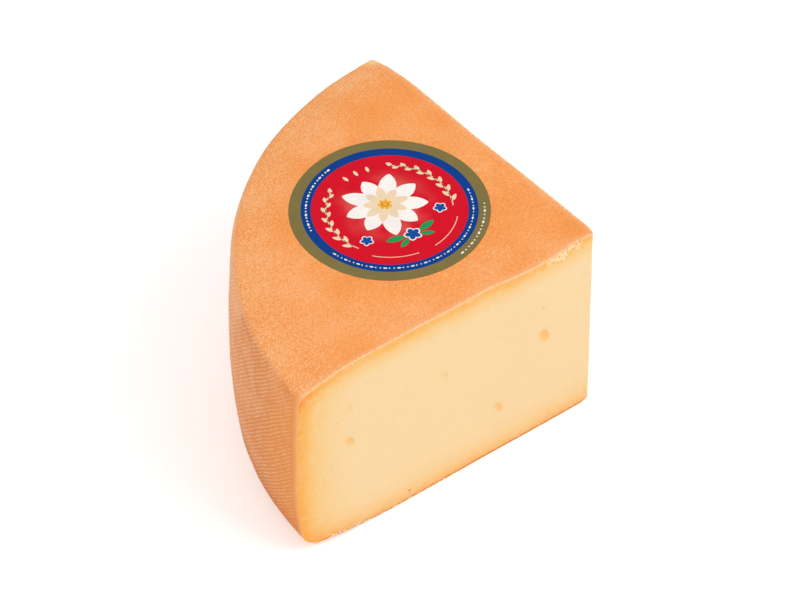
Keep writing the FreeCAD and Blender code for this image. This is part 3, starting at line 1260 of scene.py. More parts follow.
class Bench:
    """Bench on which the nodes of one material are put together."""

    def __init__(self, name: str) -> None:
        """Start a material.

        Args:
            name: Name of the material.
        """
        self.material = bpy.data.materials.new(name)
        self.material.use_nodes = True
        self.tree = self.material.node_tree
        self.shader = self.tree.nodes["Principled BSDF"]

    def node(self, kind: str, **settings: object) -> Node:
        """Add a node.

        Args:
            kind: Its type, without the leading ShaderNode.
            settings: Its settings.

        Returns:
            The node.
        """
        made = self.tree.nodes.new("ShaderNode" + kind)
        for name, value in settings.items():
            setattr(made, name, value)
        return made

    def feed(self, socket: NodeSocket, value: Feed) -> None:
        """Link a socket to another, or set it.

        Args:
            socket: The input.
            value: An output to link, or a constant.
        """
        if isinstance(value, NodeSocket):
            self.tree.links.new(value, socket)
        else:
            socket.default_value = value

    def fed(self, made: Node, values: Iterable[Feed]) -> Node:
        """Feed the inputs of a node in their order.

        Args:
            made: The node.
            values: What goes in.

        Returns:
            The same node.
        """
        for socket, value in zip(made.inputs, values):
            self.feed(socket, value)
        return made

    def maths(self, operation: str, *values: Feed) -> NodeSocket:
        """Do one sum; operation is its name."""
        return self.fed(self.node("Math", operation=operation), values).outputs[0]

    def vectors(self, operation: str, *values: Feed) -> Node:
        """Do one sum of vectors, whose node has Vector and Value outputs; operation is its name."""
        return self.fed(self.node("VectorMath", operation=operation), values)

    def plus(self, first: Feed, second: Feed) -> NodeSocket:
        """Sum of two numbers."""
        return self.maths("ADD", first, second)

    def times(self, first: Feed, second: Feed) -> NodeSocket:
        """Product of two numbers."""
        return self.maths("MULTIPLY", first, second)

    def swing(self, pattern: Feed, reach: float) -> NodeSocket:
        """A pattern round 0.5 turned into one round 0, with that reach from end to end."""
        return self.times(self.maths("SUBTRACT", pattern, 0.5), reach)

    def blend(self, share: Feed, first: Feed, second: Feed, mode: str = "MIX") -> NodeSocket:
        """Mix two colours: share is how much of the second shows, mode is how they mix."""
        return self.fed(self.node("MixRGB", blend_type=mode), (share, first, second)).outputs[0]

    def lay(self, under: Feed, share: Feed, code: str, mode: str = "MIX") -> NodeSocket:
        """Lay a screen colour over another colour, where share says."""
        return self.blend(share, under, colour(code), mode)

    def step(self, value: Feed, zone: Zone) -> NodeSocket:
        """Soft step.

        Args:
            value: What is read.
            zone: Where the step lies.

        Returns:
            The step, from 0 to the zone's top.
        """
        made = self.node("MapRange", interpolation_type="SMOOTHSTEP")
        limits = (zone.low, zone.high, 0.0, zone.top)
        if zone.high < zone.low:
            limits = (zone.high, zone.low, zone.top, 0.0)
        for name, amount in zip(("From Min", "From Max", "To Min", "To Max"), limits):
            made.inputs[name].default_value = amount
        self.feed(made.inputs["Value"], value)
        return made.outputs["Result"]

    def noise(self, place: Feed, grain: Grain) -> NodeSocket:
        """Random pattern.

        Args:
            place: Coordinates.
            grain: Settings of the pattern.

        Returns:
            The pattern, round 0.5.
        """
        made = self.node("TexNoise")
        self.feed(made.inputs["Vector"], place)
        made.inputs["Scale"].default_value = 1.0 / grain.size
        made.inputs["Detail"].default_value = grain.detail
        made.inputs["Roughness"].default_value = grain.roughness
        made.inputs["Distortion"].default_value = grain.distortion
        return made.outputs["Fac"]

    def grade(self, value: Feed, stops: Iterable[tuple[float, str]]) -> NodeSocket:
        """Turn a number into a colour.

        Args:
            value: What is read.
            stops: Numbers and their screen colours, in order.

        Returns:
            The colour.
        """
        made = self.node("ValToRGB")
        ramp = made.color_ramp
        for index, (place, code) in enumerate(stops):
            stop = ramp.elements[index] if index < 2 else ramp.elements.new(place)
            stop.position = place
            stop.color = colour(code)
        self.feed(made.inputs["Fac"], value)
        return made.outputs["Color"]

    def bump(self, height: Feed, distance: float, strength: float) -> None:
        """Give the shader a relief.

        Args:
            height: The relief's pattern.
            distance: Height of the relief where the pattern is 1, in metres.
            strength: How strongly it shows.
        """
        made = self.node("Bump")
        made.inputs["Strength"].default_value = strength
        made.inputs["Distance"].default_value = distance
        self.feed(made.inputs["Height"], height)
        self.tree.links.new(made.outputs["Normal"], self.shader.inputs["Normal"])

    def mark(self, name: str) -> NodeSocket:
        """The piece's own attribute of that name, as a number."""
        return self.node("Attribute", attribute_name=name).outputs["Fac"]

    def object_place(self) -> NodeSocket:
        """The shaded point in the piece's own coordinates."""
        return self.node("TexCoord").outputs["Object"]

    def settle(self, tone: Feed, rough_share: Feed, roughness: float, sheen: float) -> Material:
        """Give the shader its colour, its roughness and its sheen.

        Args:
            tone: The colour.
            rough_share: Pattern that is added to the roughness.
            roughness: Roughness where the pattern is 0.
            sheen: How strongly the surface reflects.

        Returns:
            The finished material.
        """
        self.feed(self.shader.inputs["Base Color"], tone)
        self.feed(self.shader.inputs["Roughness"], self.plus(rough_share, roughness))
        self.shader.inputs["Specular IOR Level"].default_value = sheen
        return self.material


class WheelBench(Bench):
    """Bench that also knows where a shaded point lies on the wheel, each as an output."""

    def __init__(self, name: str, wheel: Wheel) -> None:
        """Start a material, and work out radius, height, arc and the distances from the rind.

        Args:
            name: Name of the material.
            wheel: The wheel.
        """
        super().__init__(name)
        self.place = self.object_place()
        offset = self.vectors("SUBTRACT", self.place, tuple(wheel.axis)).outputs["Vector"]
        flat = self.vectors("MULTIPLY", offset, (1.0, 1.0, 0.0)).outputs["Vector"]
        split = self.node("SeparateXYZ")
        self.feed(split.inputs[0], offset)
        self.height = split.outputs["Z"]
        self.radius = self.vectors("LENGTH", flat).outputs["Value"]
        diagonal = math.sqrt(0.5)
        ahead = self.vectors("DOT_PRODUCT", flat, (-diagonal, diagonal, 0.0)).outputs["Value"]
        aside = self.vectors("DOT_PRODUCT", flat, (-diagonal, -diagonal, 0.0)).outputs["Value"]
        self.arc = self.times(self.maths("ARCTAN2", aside, ahead), wheel.radius)
        top = self.bent(self.radius, wheel.crown_flat, -wheel.fall.radius, wheel.height)
        bottom = self.bent(self.radius, wheel.base_flat, wheel.lift.radius, 0.0)
        self.from_crown = self.maths("SUBTRACT", top, self.height)
        self.from_base = self.maths("SUBTRACT", self.height, bottom)
        side = self.bent(self.height, wheel.widest, -wheel.upper.radius, wheel.radius)
        tucked = self.bent(self.times(self.height, -1.0), -wheel.widest, -wheel.lower.radius, 0.0)
        self.from_side = self.maths("SUBTRACT", self.plus(side, tucked), self.radius)

    def bent(self, run: Feed, start: float, radius: float, level: float) -> NodeSocket:
        """A line at a level that bends away from a start on; a negative radius bends it down."""
        past = self.maths("MAXIMUM", self.maths("SUBTRACT", run, start), 0.0)
        return self.plus(self.times(self.times(past, past), 1 / (2 * radius)), level)


@dataclass(frozen=True)
class RindFinish:
    """Orange natural rind, speckled on the crown and marked by the cloth on the side."""

    wheel: Wheel
    name: str = "rind"
    crown_tones: Stops = ((0.3, "f08b3f"), (0.5, "f89f56"), (0.72, "febe88"))
    side_tones: Stops = ((0.08, "cf7639"), (0.5, "e7965a"), (0.95, "f9c89e"))
    glowing: str = "fb9f4c"
    near_cut: str = "faa04a"
    far_side: str = "ffc496"
    pale: str = "fccb9c"
    dust: str = "fdd3a0"
    brow: str = "ffd4ac"
    torn: str = "fdcf9f"
    curd: str = "ffdf9c"
    toe: str = "c9753a"
    stain: str = "e0a06a"
    fine: Grain = Grain(1.25 * MM, 3.0, 0.7)
    finest: Grain = Grain(0.55 * MM, 1.0, 0.6)
    relief: float = 0.16 * MM
    relief_shown: float = 0.9
    roughness: float = 0.5
    rough_spread: float = 0.3
    sheen: float = 0.15
    side_outside: Zone = Zone(145.3 * MM, 147.2 * MM)
    side_below: Zone = Zone(96.6 * MM, 94.6 * MM)
    underside: Zone = Zone(4.0 * MM, 1.5 * MM)
    patches: Grain = Grain(26 * MM, 2.0, 0.55)
    patchiness: float = 0.35
    dusty_rim: Zone = Zone(118 * MM, 142 * MM)
    dusty: Zone = Zone(0.5, 0.62, 0.55)
    blots: Grain = Grain(17 * MM, 3.0, 0.6, 0.8)
    blotted: Zone = Zone(0.63, 0.75, 0.25)
    speckled: Pair = (1.1, -0.22)
    ridge_share: float = 0.5
    glow_from: float = 34 * MM
    glow_to: float = 8 * MM
    glow: float = 0.35
    by_cut: Zone = Zone(0.05, 0.8, 0.75)
    clouds: Grain = Grain(34 * MM, 3.0, 0.6)
    cloud_reach: float = 150 * MM
    paler: Zone = Zone(95 * MM, 20 * MM, 0.4)
    paler_high: Zone = Zone(70 * MM, 95 * MM, 0.4)
    paler_middle: Zone = Zone(100 * MM, 60 * MM)
    darker_low: Zone = Zone(30 * MM, 3 * MM, 0.45)
    brow_outside: Zone = Zone(2.0 * MM, 1.1 * MM)
    brow_above: Zone = Zone(1.7 * MM, 0.9 * MM)
    brow_noise: Grain = Grain(1.6 * MM, 3.0, 0.7)
    pale_brow: Zone = Zone(0.36, 0.58, 0.75)
    raggedness: float = 0.55
    paling: Zone = Zone(0.3, 1.0, 0.3)
    frayed: Zone = Zone(0.84, 0.93, 0.85)
    frayed_above: Zone = Zone(93 * MM, 97 * MM, 0.6)
    frayed_below: float = 0.4
    chip_ragged: float = 20 * MM
    chip: Zone = Zone(9 * MM, 4 * MM, 0.65)
    ridge_pitch: float = 1.595 * MM
    ridge_slope: float = math.radians(46)
    ridge_crest: float = 1.4
    ridge_fades: Zone = Zone(0.6, 0.0)
    bead_pitch: float = 1.15 * MM
    bead_share: float = 0.25
    wander: Grain = Grain(26 * MM, 1.0, 0.4)
    wander_waves: float = 1.3
    wear: Grain = Grain(5 * MM, 2.0, 0.6)
    worn: Zone = Zone(0.3, 0.62, 0.45)
    crumbling: Grain = Grain(0.8 * MM, 1.0, 0.5)
    crumbly: Zone = Zone(0.35, 0.65, 0.45)

    def make(self) -> Material:
        """Make the material.

        Returns:
            The rind's material.
        """
        bench = WheelBench(self.name, self.wheel)
        fine, finest = bench.noise(bench.place, self.fine), bench.noise(bench.place, self.finest)
        speck = bench.plus(bench.times(fine, 0.5), bench.times(finest, 0.5))
        ridge = self.ridges(bench)
        outside = bench.step(bench.radius, self.side_outside)
        on_side = bench.times(outside, bench.step(bench.height, self.side_below))
        off_crown = bench.maths("MAXIMUM", on_side, bench.step(bench.height, self.underside))
        crown, side = self.crown(bench, speck, finest), self.side(bench, speck, ridge)
        rind = self.edges(bench, fine, bench.blend(off_crown, crown, side))
        bench.bump(bench.plus(bench.times(ridge, on_side), speck), self.relief, self.relief_shown)
        return bench.settle(rind, bench.times(speck, self.rough_spread), self.roughness, self.sheen)

    def crown(self, bench: WheelBench, speck: Feed, finest: Feed) -> NodeSocket:
        """Colour of the crown: cloudy orange, paler and dusty towards the rim.

        Args:
            bench: Bench that takes the nodes.
            speck: Pattern of the rind's specks.
            finest: Its finest part.

        Returns:
            The colour.
        """
        uneven = bench.swing(bench.noise(bench.place, self.patches), self.patchiness)
        crown = bench.grade(bench.plus(speck, uneven), self.crown_tones)
        dust = bench.times(bench.step(bench.radius, self.dusty_rim), bench.step(finest, self.dusty))
        crown = bench.lay(crown, dust, self.dust)
        blot = bench.step(bench.noise(bench.place, self.blots), self.blotted)
        return bench.lay(crown, blot, self.stain)

    def side(self, bench: WheelBench, speck: Feed, ridge: Feed) -> NodeSocket:
        """Colour of the side: pale on the cloth's ridges, more orange near the first cut, brown at the toe.

        Args:
            bench: Bench that takes the nodes.
            speck: Pattern of the rind's specks.
            ridge: Pattern of the ridges.

        Returns:
            The colour.
        """
        mottled = bench.maths("MULTIPLY_ADD", speck, *self.speckled)
        side = bench.grade(bench.plus(bench.times(ridge, self.ridge_share), mottled), self.side_tones)
        to_middle = bench.maths("ABSOLUTE", bench.arc)
        half_arc = self.wheel.radius * math.pi / 4
        glowing = Zone(half_arc - self.glow_from, half_arc - self.glow_to, self.glow)
        side = bench.lay(side, bench.step(to_middle, glowing), self.glowing)
        side = bench.lay(side, bench.step(bench.mark("edge"), self.by_cut), self.near_cut)
        cloud = bench.noise(bench.place, self.clouds)
        cloud = bench.maths("MULTIPLY_ADD", cloud, self.cloud_reach, -self.cloud_reach / 2)
        to_cloud = bench.plus(to_middle, cloud)
        side = bench.lay(side, bench.step(to_cloud, self.paler), self.far_side)
        high = bench.step(bench.height, self.paler_high)
        high = bench.times(high, bench.step(to_cloud, self.paler_middle))
        side = bench.lay(side, high, self.far_side)
        return bench.lay(side, bench.step(bench.height, self.darker_low), self.toe, "MULTIPLY")

    def edges(self, bench: WheelBench, fine: Feed, rind: Feed) -> NodeSocket:
        """Lay a pale patchy line along the brow and the frayed edges of the cuts over the rind's colour.

        Args:
            bench: Bench that takes the nodes.
            fine: Pattern of fine specks.
            rind: Colour underneath.

        Returns:
            The colour.
        """
        # Pale patchy line along the rounded brow between crown and side, laid in the brow colour
        outside = bench.step(bench.from_side, self.brow_outside)
        brow = bench.times(outside, bench.step(bench.from_crown, self.brow_above))
        pale_brow = bench.times(brow, bench.step(bench.noise(bench.place, self.brow_noise), self.pale_brow))
        rind = bench.lay(rind, pale_brow, self.brow)
        mark, ragged = bench.mark("edge"), bench.swing(fine, self.raggedness)
        rind = bench.lay(rind, bench.step(mark, self.paling), self.pale)
        frayed = bench.step(bench.plus(mark, ragged), self.frayed)
        level = bench.plus(bench.step(bench.height, self.frayed_above), self.frayed_below)
        rind = bench.lay(rind, bench.times(frayed, level), self.torn)
        along = towards(self.wheel.heading(Surface.SECOND_CUT))
        corner = self.wheel.tip + along * self.wheel.reach(along, self.wheel.top_corner.x)
        corner.z = self.wheel.top_corner.y
        away = bench.vectors("DISTANCE", bench.place, tuple(corner)).outputs["Value"]
        chip = bench.step(bench.plus(away, bench.times(ragged, self.chip_ragged)), self.chip)
        return bench.lay(rind, chip, self.curd)

    def ridges(self, bench: WheelBench) -> NodeSocket:
        """Slanted ridges of the cloth, broken into beads.

        Args:
            bench: Bench that takes the nodes.

        Returns:
            The pattern, from 0 in a groove to 1 on a bead.
        """
        wander = bench.times(bench.noise(bench.place, self.wander), self.wander_waves)
        rise, run = math.cos(self.ridge_slope), -math.sin(self.ridge_slope)
        crest = self.slanted(bench, (rise, run), self.ridge_pitch, wander)
        beads = self.slanted(bench, (-run, rise), self.bead_pitch, wander)
        worn = bench.step(bench.noise(bench.place, self.wear), self.worn)
        crumbly = bench.step(bench.noise(bench.place, self.crumbling), self.crumbly)
        beaded = bench.plus(bench.times(beads, self.bead_share), crumbly)
        crest = bench.maths("POWER", crest, self.ridge_crest)
        crest = bench.times(crest, bench.step(bench.mark("edge"), self.ridge_fades))
        return bench.times(crest, bench.plus(beaded, worn))

    @staticmethod
    def slanted(bench: WheelBench, across: Pair, pitch: float, wander: Feed) -> NodeSocket:
        """Wave over the side.

        Args:
            bench: Bench that takes the nodes.
            across: Direction in which it rises and falls: share of the height, share of the arc.
            pitch: Its length.
            wander: Shift of the wave, in waves.

        Returns:
            The wave, from 0 to 1.
        """
        runs = zip((bench.height, bench.arc), across)
        upward, sideways = (bench.times(run, share / pitch) for run, share in runs)
        turn = bench.plus(bench.plus(upward, sideways), wander)
        swing = bench.maths("SINE", bench.times(turn, 2 * math.pi))
        return bench.plus(bench.times(swing, 0.5), 0.5)


@dataclass(frozen=True)
class PasteFinish:
    """Pale creamy yellow paste that darkens towards the rind."""

    wheel: Wheel
    name: str = "paste"
    heart: str = "fcdaa6"
    side_tints: Stops = (
        (0.0, "ffc55c"), (0.07, "ffcc6c"), (0.13, "ffd686"), (0.2, "ffe2a6"), (0.33, "ffeecb"),
        (0.57, "fff8e8"), (1.0, "ffffff"),
    )
    crown_tints: Stops = (
        (0.0, "ffd384"), (0.1, "ffda95"), (0.15, "ffe5b2"), (0.2, "ffeecb"), (0.33, "fff8ea"),
        (0.45, "ffffff"),
    )
    base_tints: Stops = (
        (0.0, "ffc98a"), (0.06, "ffdaa8"), (0.2, "fff0d4"), (0.36, "fffaf0"), (0.6, "ffffff"),
    )
    tinted_depth: float = 30 * MM
    wobble: Grain = Grain(12 * MM, 2.0, 0.5)
    wobble_reach: float = 3.5 * MM
    pale: str = "fee9c4"
    curd: Grain = Grain(3.2 * MM, 3.0, 0.6, 0.4)
    curdled: Zone = Zone(0.4, 0.7, 0.18)
    grain: str = "f3c98c"
    grains: Grain = Grain(0.9 * MM, 2.0, 0.6)
    grainy: Zone = Zone(0.35, 0.65, 0.12)
    eye: str = "fbc172"
    torn_tones: Stops = ((0.25, "ffbc5c"), (0.5, "ffc976"), (0.8, "ffe6bd"))
    crumbs: Grain = Grain(0.8 * MM, 2.0, 0.6)
    crumbly: Pair = (1.2, -0.6)
    torn: Zone = Zone(0.05, 0.3, 0.9)
    rind_line: str = "dd8c49"
    ragged: Grain = Grain(1.6 * MM, 3.0, 0.7)
    ragged_reach: float = 1.8 * MM
    base_skin: Zone = Zone(1.7 * MM, 0.8 * MM, 0.85)
    side_skin: Zone = Zone(0.7 * MM, 0.25 * MM, 0.7)
    relief: float = 0.10 * MM
    relief_shown: float = 0.5
    roughness: float = 0.4
    rough_spread: float = 0.25
    sheen: float = 0.2
    glow: float = 0.12
    glow_depth: float = 3.0 * MM
    glow_colours: tuple[float, float, float] = (1.0, 0.6, 0.3)

    def make(self) -> Material:
        """Make the material.

        Returns:
            The paste's material.
        """
        bench = WheelBench(self.name, self.wheel)
        wobble = bench.swing(bench.noise(bench.place, self.wobble), self.wobble_reach)
        paste: Feed = colour(self.heart)
        distances = (bench.from_side, bench.from_crown, bench.from_base)
        for distance, tints in zip(distances, (self.side_tints, self.crown_tints, self.base_tints)):
            near = bench.times(bench.plus(distance, wobble), 1 / self.tinted_depth)
            paste = bench.blend(1.0, paste, bench.grade(near, tints), "MULTIPLY")
        curd, grain = bench.noise(bench.place, self.curd), bench.noise(bench.place, self.grains)
        paste = bench.lay(paste, bench.step(curd, self.curdled), self.pale)
        paste = bench.lay(paste, bench.step(grain, self.grainy), self.grain)
        paste = bench.lay(paste, bench.mark("eye"), self.eye)
        torn = bench.mark("torn")
        crumbly = bench.maths("MULTIPLY_ADD", bench.noise(bench.place, self.crumbs), *self.crumbly)
        loose = bench.grade(bench.plus(torn, crumbly), self.torn_tones)
        paste = bench.blend(bench.step(torn, self.torn), paste, loose)
        ragged = bench.swing(bench.noise(bench.place, self.ragged), self.ragged_reach)
        for distance, skin in ((bench.from_base, self.base_skin), (bench.from_side, self.side_skin)):
            paste = bench.lay(paste, bench.step(bench.plus(distance, ragged), skin), self.rind_line)
        bench.bump(bench.plus(curd, bench.times(grain, 0.5)), self.relief, self.relief_shown)
        bench.shader.inputs["Subsurface Weight"].default_value = self.glow
        bench.shader.inputs["Subsurface Scale"].default_value = self.glow_depth
        bench.shader.inputs["Subsurface Radius"].default_value = self.glow_colours
        return bench.settle(paste, bench.times(curd, self.rough_spread), self.roughness, self.sheen)


@dataclass(frozen=True)
class PrintFinish:
    """Printed paper or ink: a nearly even colour, with a faint sheen and the paper's tooth, and, where a glow
    colour is given, a painted reflection of the lamps in pale patches round a centre.
    """

    name: str
    code: str
    # The glow colour and the four fields after it paint a reflection of the lamps: its colour, its centre,
    # its reach and its patches.
    glow: str | None = None
    reflection_centre: Vector = field(default_factory=lambda: Vector((0, 0, 0)))
    reflection_zone: Zone = Zone(24 * MM, 9 * MM, 0.3)
    reflection_patches: Grain = Grain(11 * MM, 1.0, 0.4)
    reflection_patchy: Zone = Zone(0.35, 0.65)
    tooth: Grain = Grain(0.35 * MM, 2.0, 0.6)
    tooth_height: float = 0.012 * MM
    tooth_shown: float = 0.4
    clouds: Grain = Grain(7 * MM, 2.0, 0.5)
    clouded: Zone = Zone(0.3, 0.7, 0.06)
    roughness: float = 0.42
    rough_spread: float = 0.12
    sheen: float = 0.06

    def make(self) -> Material:
        """Make the material.

        Returns:
            The ink's material.
        """
        bench = Bench(self.name)
        place = bench.object_place()
        tooth, cloud = bench.noise(place, self.tooth), bench.noise(place, self.clouds)
        tone = bench.lay(colour(self.code), bench.step(cloud, self.clouded), "000000")
        # Painted reflection of the lamps: the glow colour laid in pale patches round the centre.
        if self.glow:
            away = bench.vectors("DISTANCE", place, tuple(self.reflection_centre)).outputs["Value"]
            reflection_patchy = bench.step(bench.noise(place, self.reflection_patches), self.reflection_patchy)
            tone = bench.lay(tone, bench.times(bench.step(away, self.reflection_zone), reflection_patchy), self.glow)
        bench.bump(tooth, self.tooth_height, self.tooth_shown)
        return bench.settle(tone, bench.times(tooth, self.rough_spread), self.roughness, self.sheen)


# ----------------------------------------
# Loose bits on the cut and along its edges


@dataclass(frozen=True)
class Batch:
    """Crumbs of one place: how many, on which cut, and limits of their places and sizes, in millimetres.

    Heights are measured down from the crown, up from the underside of the wheel, or else from the floor.
    With a spread, the distances are a middle, round which the crumbs spread, and the furthest of all.
    The shape is length, depth and height for a girth of 1; stretch is a further factor on the length.
    """

    count: int
    surface: Surface
    measured_from: Surface | None
    distances: Pair
    heights: Pair
    girths: Pair
    sunk: float
    shape: tuple[float, float, float]
    stretch: Pair | None = None
    turns: Pair | None = None
    spread: float = 0.0


@dataclass
class LooseBits:
    """Crumbs, flecks and slivers that cling to the cut faces, each kind one mesh of lumps."""

    wheel: Wheel
    low: Vector
    high: Vector
    seed: int = 7
    smallest: float = 0.5
    bulges: float = 0.8
    crumb_crease: float = math.radians(15)
    batches: tuple[Batch, ...] = (
        Batch(
            90, Surface.FIRST_CUT, Surface.CROWN, (4, 143), (0.7, 1.3), (0.12, 0.3), 0.25, (1, 1, 0.8),
            stretch=(1.0, 2.2),
        ),
        Batch(
            60, Surface.SECOND_CUT, Surface.CROWN, (4, 143), (0.7, 1.3), (0.12, 0.3), 0.25, (1, 1, 0.8),
            stretch=(1.0, 2.2),
        ),
        Batch(
            30, Surface.FIRST_CUT, None, (7, 27), (95.5, 99.0), (0.25, 0.5), 0.35, (1.3, 0.6, 1),
            turns=(-1, 1),
        ),
        Batch(
            44, Surface.FIRST_CUT, Surface.BASE, (114, 146), (0.4, 1.2), (0.2, 0.42), 0.15, (1, 0.6, 0.6),
            stretch=(1.5, 3.5), spread=19.0,
        ),
    )
    fleck_places: tuple[tuple[float, float, float], ...] = (
        (27.9, 73.1, 0.34), (67.4, 44.5, 0.26), (97.0, 5.3, 0.8), (134.0, 70.0, 0.24)
    )
    fleck_depth: float = 0.22
    fleck_sunk: float = 0.12 * MM
    fleck_turn: float = 0.3
    sliver_places: tuple[Pair, ...] = (
        (131.0, 84.5), (147.0, 36.0), (116.0, 22.0), (122.0, 35.0), (108.0, 44.0), (45.0, 84.0), (36.0, 62.0)
    )
    sliver_lengths: Pair = (0.5, 1.1)
    sliver_depth: float = 0.14 * MM
    sliver_girth: float = 0.13 * MM
    sliver_turns: Pair = (0.4, 1.4)
    foot_slivers: tuple[Pair, ...] = (
        (123.0, 1.9), (124.6, 1.7), (126.2, 2.2), (133.6, 1.6), (135.4, 1.3), (137.2, 1.9)
    )
    foot_sliver_lengths: Pair = (0.6, 0.95)
    foot_sliver_girths: Pair = (0.22, 0.34)
    foot_sliver_depth: float = 0.25
    foot_sliver_turns: Pair = (-0.3, 0.1)

    def lump(self, bm: BMesh, place: Vector, size: Vector, turn: float, shaker: Random) -> None:
        """Add one uneven lump.

        Args:
            bm: Mesh that takes it.
            place: Its middle.
            size: Half its length, depth and height.
            turn: Its tilt on the face, in radians.
            shaker: Source of its unevenness.
        """
        verts = bmesh.ops.create_icosphere(bm, subdivisions=2, radius=1.0)["verts"]
        seed = shaker.uniform(0, 50)
        for vert in verts:
            vert.co *= self.smallest + ripple(vert.co, self.bulges, seed)
        shaped = Matrix.Diagonal((*size, 1.0))
        turned = Matrix.Translation(place) @ Matrix.Rotation(turn, 4, "Y") @ shaped
        bmesh.ops.transform(bm, verts=verts, matrix=turned)

    def on_cut(self, distance: float, height: float, surface: Surface, sunk: float = 0.0) -> Vector:
        """Place on a cut face.

        Args:
            distance: Distance from the tip.
            height: Height over the base.
            surface: Which of the two cuts.
            sunk: Depth under the face.

        Returns:
            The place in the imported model's frame.
        """
        stroke = self.wheel.first if surface is Surface.FIRST_CUT else self.wheel.second
        depth = sunk - stroke.aside(distance) * height / self.wheel.height
        along = towards(self.wheel.heading(surface)) * distance
        return self.wheel.tip + along + self.wheel.inward(surface) * depth + Vector((0, 0, height))

    def over_floor(self, distance: float, offset: float, surface: Surface, measured: Surface | None) -> float:
        """Height over the floor of a place on a cut.

        Args:
            distance: Distance from the tip.
            offset: Distance from the surface from which the height is measured.
            surface: Which of the two cuts.
            measured: The crown, the base, or nothing for the floor.

        Returns:
            The height.
        """
        radius = self.wheel.from_axis(self.on_cut(distance, 0.0, surface))
        if measured is Surface.CROWN:
            return self.wheel.crown_height(radius) - offset
        return offset + (self.wheel.base_height(radius) if measured is Surface.BASE else 0.0)

    def finished(self, bm: BMesh, name: str, finish: Material, crease: float = math.pi) -> Object:
        """Press lumps flat where they would reach out of the solids' box, and make the piece.

        Args:
            bm: Mesh of the lumps.
            name: Name of the piece.
            finish: Its finish.
            crease: Angle between faces from which their edge is shaded sharp.

        Returns:
            The finished piece.
        """
        for vert in bm.verts:
            limits = zip(vert.co, self.low, self.high)
            vert.co = Vector(min(max(part, low), high) for part, low, high in limits)
        return finish_mesh(bm, name, (finish,), crease)

    def crumbs(self, finish: Material) -> Object:
        """Make the pale crumbs along the crown's cut edges, in the crumbled patch and at the foot.

        Args:
            finish: Their finish.

        Returns:
            The finished piece.
        """
        bm = bmesh.new()
        shaker = Random(self.seed)
        for batch in self.batches:
            for _ in range(batch.count):
                self.crumb(bm, batch, shaker)
        return self.finished(bm, "crumbs", finish, self.crumb_crease)

    def crumb(self, bm: BMesh, batch: Batch, shaker: Random) -> None:
        """Add one crumb of a batch.

        Args:
            bm: Mesh that takes it.
            batch: The batch.
            shaker: Source of its place and size.
        """
        if batch.spread:
            distance = min(shaker.gauss(batch.distances[0], batch.spread), batch.distances[1]) * MM
        else:
            distance = shaker.uniform(*batch.distances) * MM
        offset = shaker.uniform(*batch.heights) * MM
        height = self.over_floor(distance, offset, batch.surface, batch.measured_from)
        girth = shaker.uniform(*batch.girths) * MM
        stretch = shaker.uniform(*batch.stretch) if batch.stretch else 1.0
        turn = shaker.uniform(*batch.turns) if batch.turns else 0.0
        length, depth, rise = batch.shape
        size = Vector((girth * stretch * length, girth * depth, girth * rise))
        place = self.on_cut(distance, height, batch.surface, batch.sunk * MM)
        self.lump(bm, place, size, turn, shaker)

    def flecks(self, finish: Material) -> Object:
        """Make the few dark orange flecks on the first cut.

        Args:
            finish: Their finish.

        Returns:
            The finished piece.
        """
        bm = bmesh.new()
        shaker = Random(self.seed + 1)
        for distance, height, girth in self.fleck_places:
            place = self.on_cut(distance * MM, height * MM, Surface.FIRST_CUT, self.fleck_sunk)
            size = Vector((girth, self.fleck_depth, girth * 0.7)) * MM
            self.lump(bm, place, size, self.fleck_turn, shaker)
        return self.finished(bm, "flecks", finish)

    def slivers(self, finish: Material) -> Object:
        """Make the fine pale slivers that the knife raised on the cut faces, and those at the foot.

        Args:
            finish: Their finish.

        Returns:
            The finished piece.
        """
        bm = bmesh.new()
        shaker = Random(self.seed + 2)
        for surface, every in ((Surface.FIRST_CUT, 1), (Surface.SECOND_CUT, 2)):
            for distance, height in self.sliver_places[::every]:
                place = self.on_cut(distance * MM, height * MM, surface)
                length = shaker.uniform(*self.sliver_lengths) * MM
                size = Vector((length, self.sliver_depth, self.sliver_girth))
                self.lump(bm, place, size, shaker.uniform(*self.sliver_turns), shaker)
        for distance, above in self.foot_slivers:
            height = self.over_floor(distance * MM, above * MM, Surface.FIRST_CUT, Surface.BASE)
            place = self.on_cut(distance * MM, height, Surface.FIRST_CUT)
            length = shaker.uniform(*self.foot_sliver_lengths)
            size = Vector((length, self.foot_sliver_depth, shaker.uniform(*self.foot_sliver_girths))) * MM
            self.lump(bm, place, size, shaker.uniform(*self.foot_sliver_turns), shaker)
        return self.finished(bm, "slivers", finish)


# ----------------------------------------
# Studio


@dataclass(frozen=True)
class Lamp:
    """Soft square lamp: its name, where it hangs, its power in watts and the length of its side."""

    name: str
    place: tuple[float, float, float]
    power: float
    size: float = 1.6

    def hang(self) -> None:
        """Hang the lamp so that it points at the piece."""
        data = bpy.data.lights.new(self.name, "AREA")
        data.size = self.size
        data.energy = self.power
        lamp = bpy.data.objects.new(self.name, data)
        lamp.location = self.place
        lamp.rotation_euler = (-lamp.location).to_track_quat("-Z", "Y").to_euler()
        bpy.context.scene.collection.objects.link(lamp)


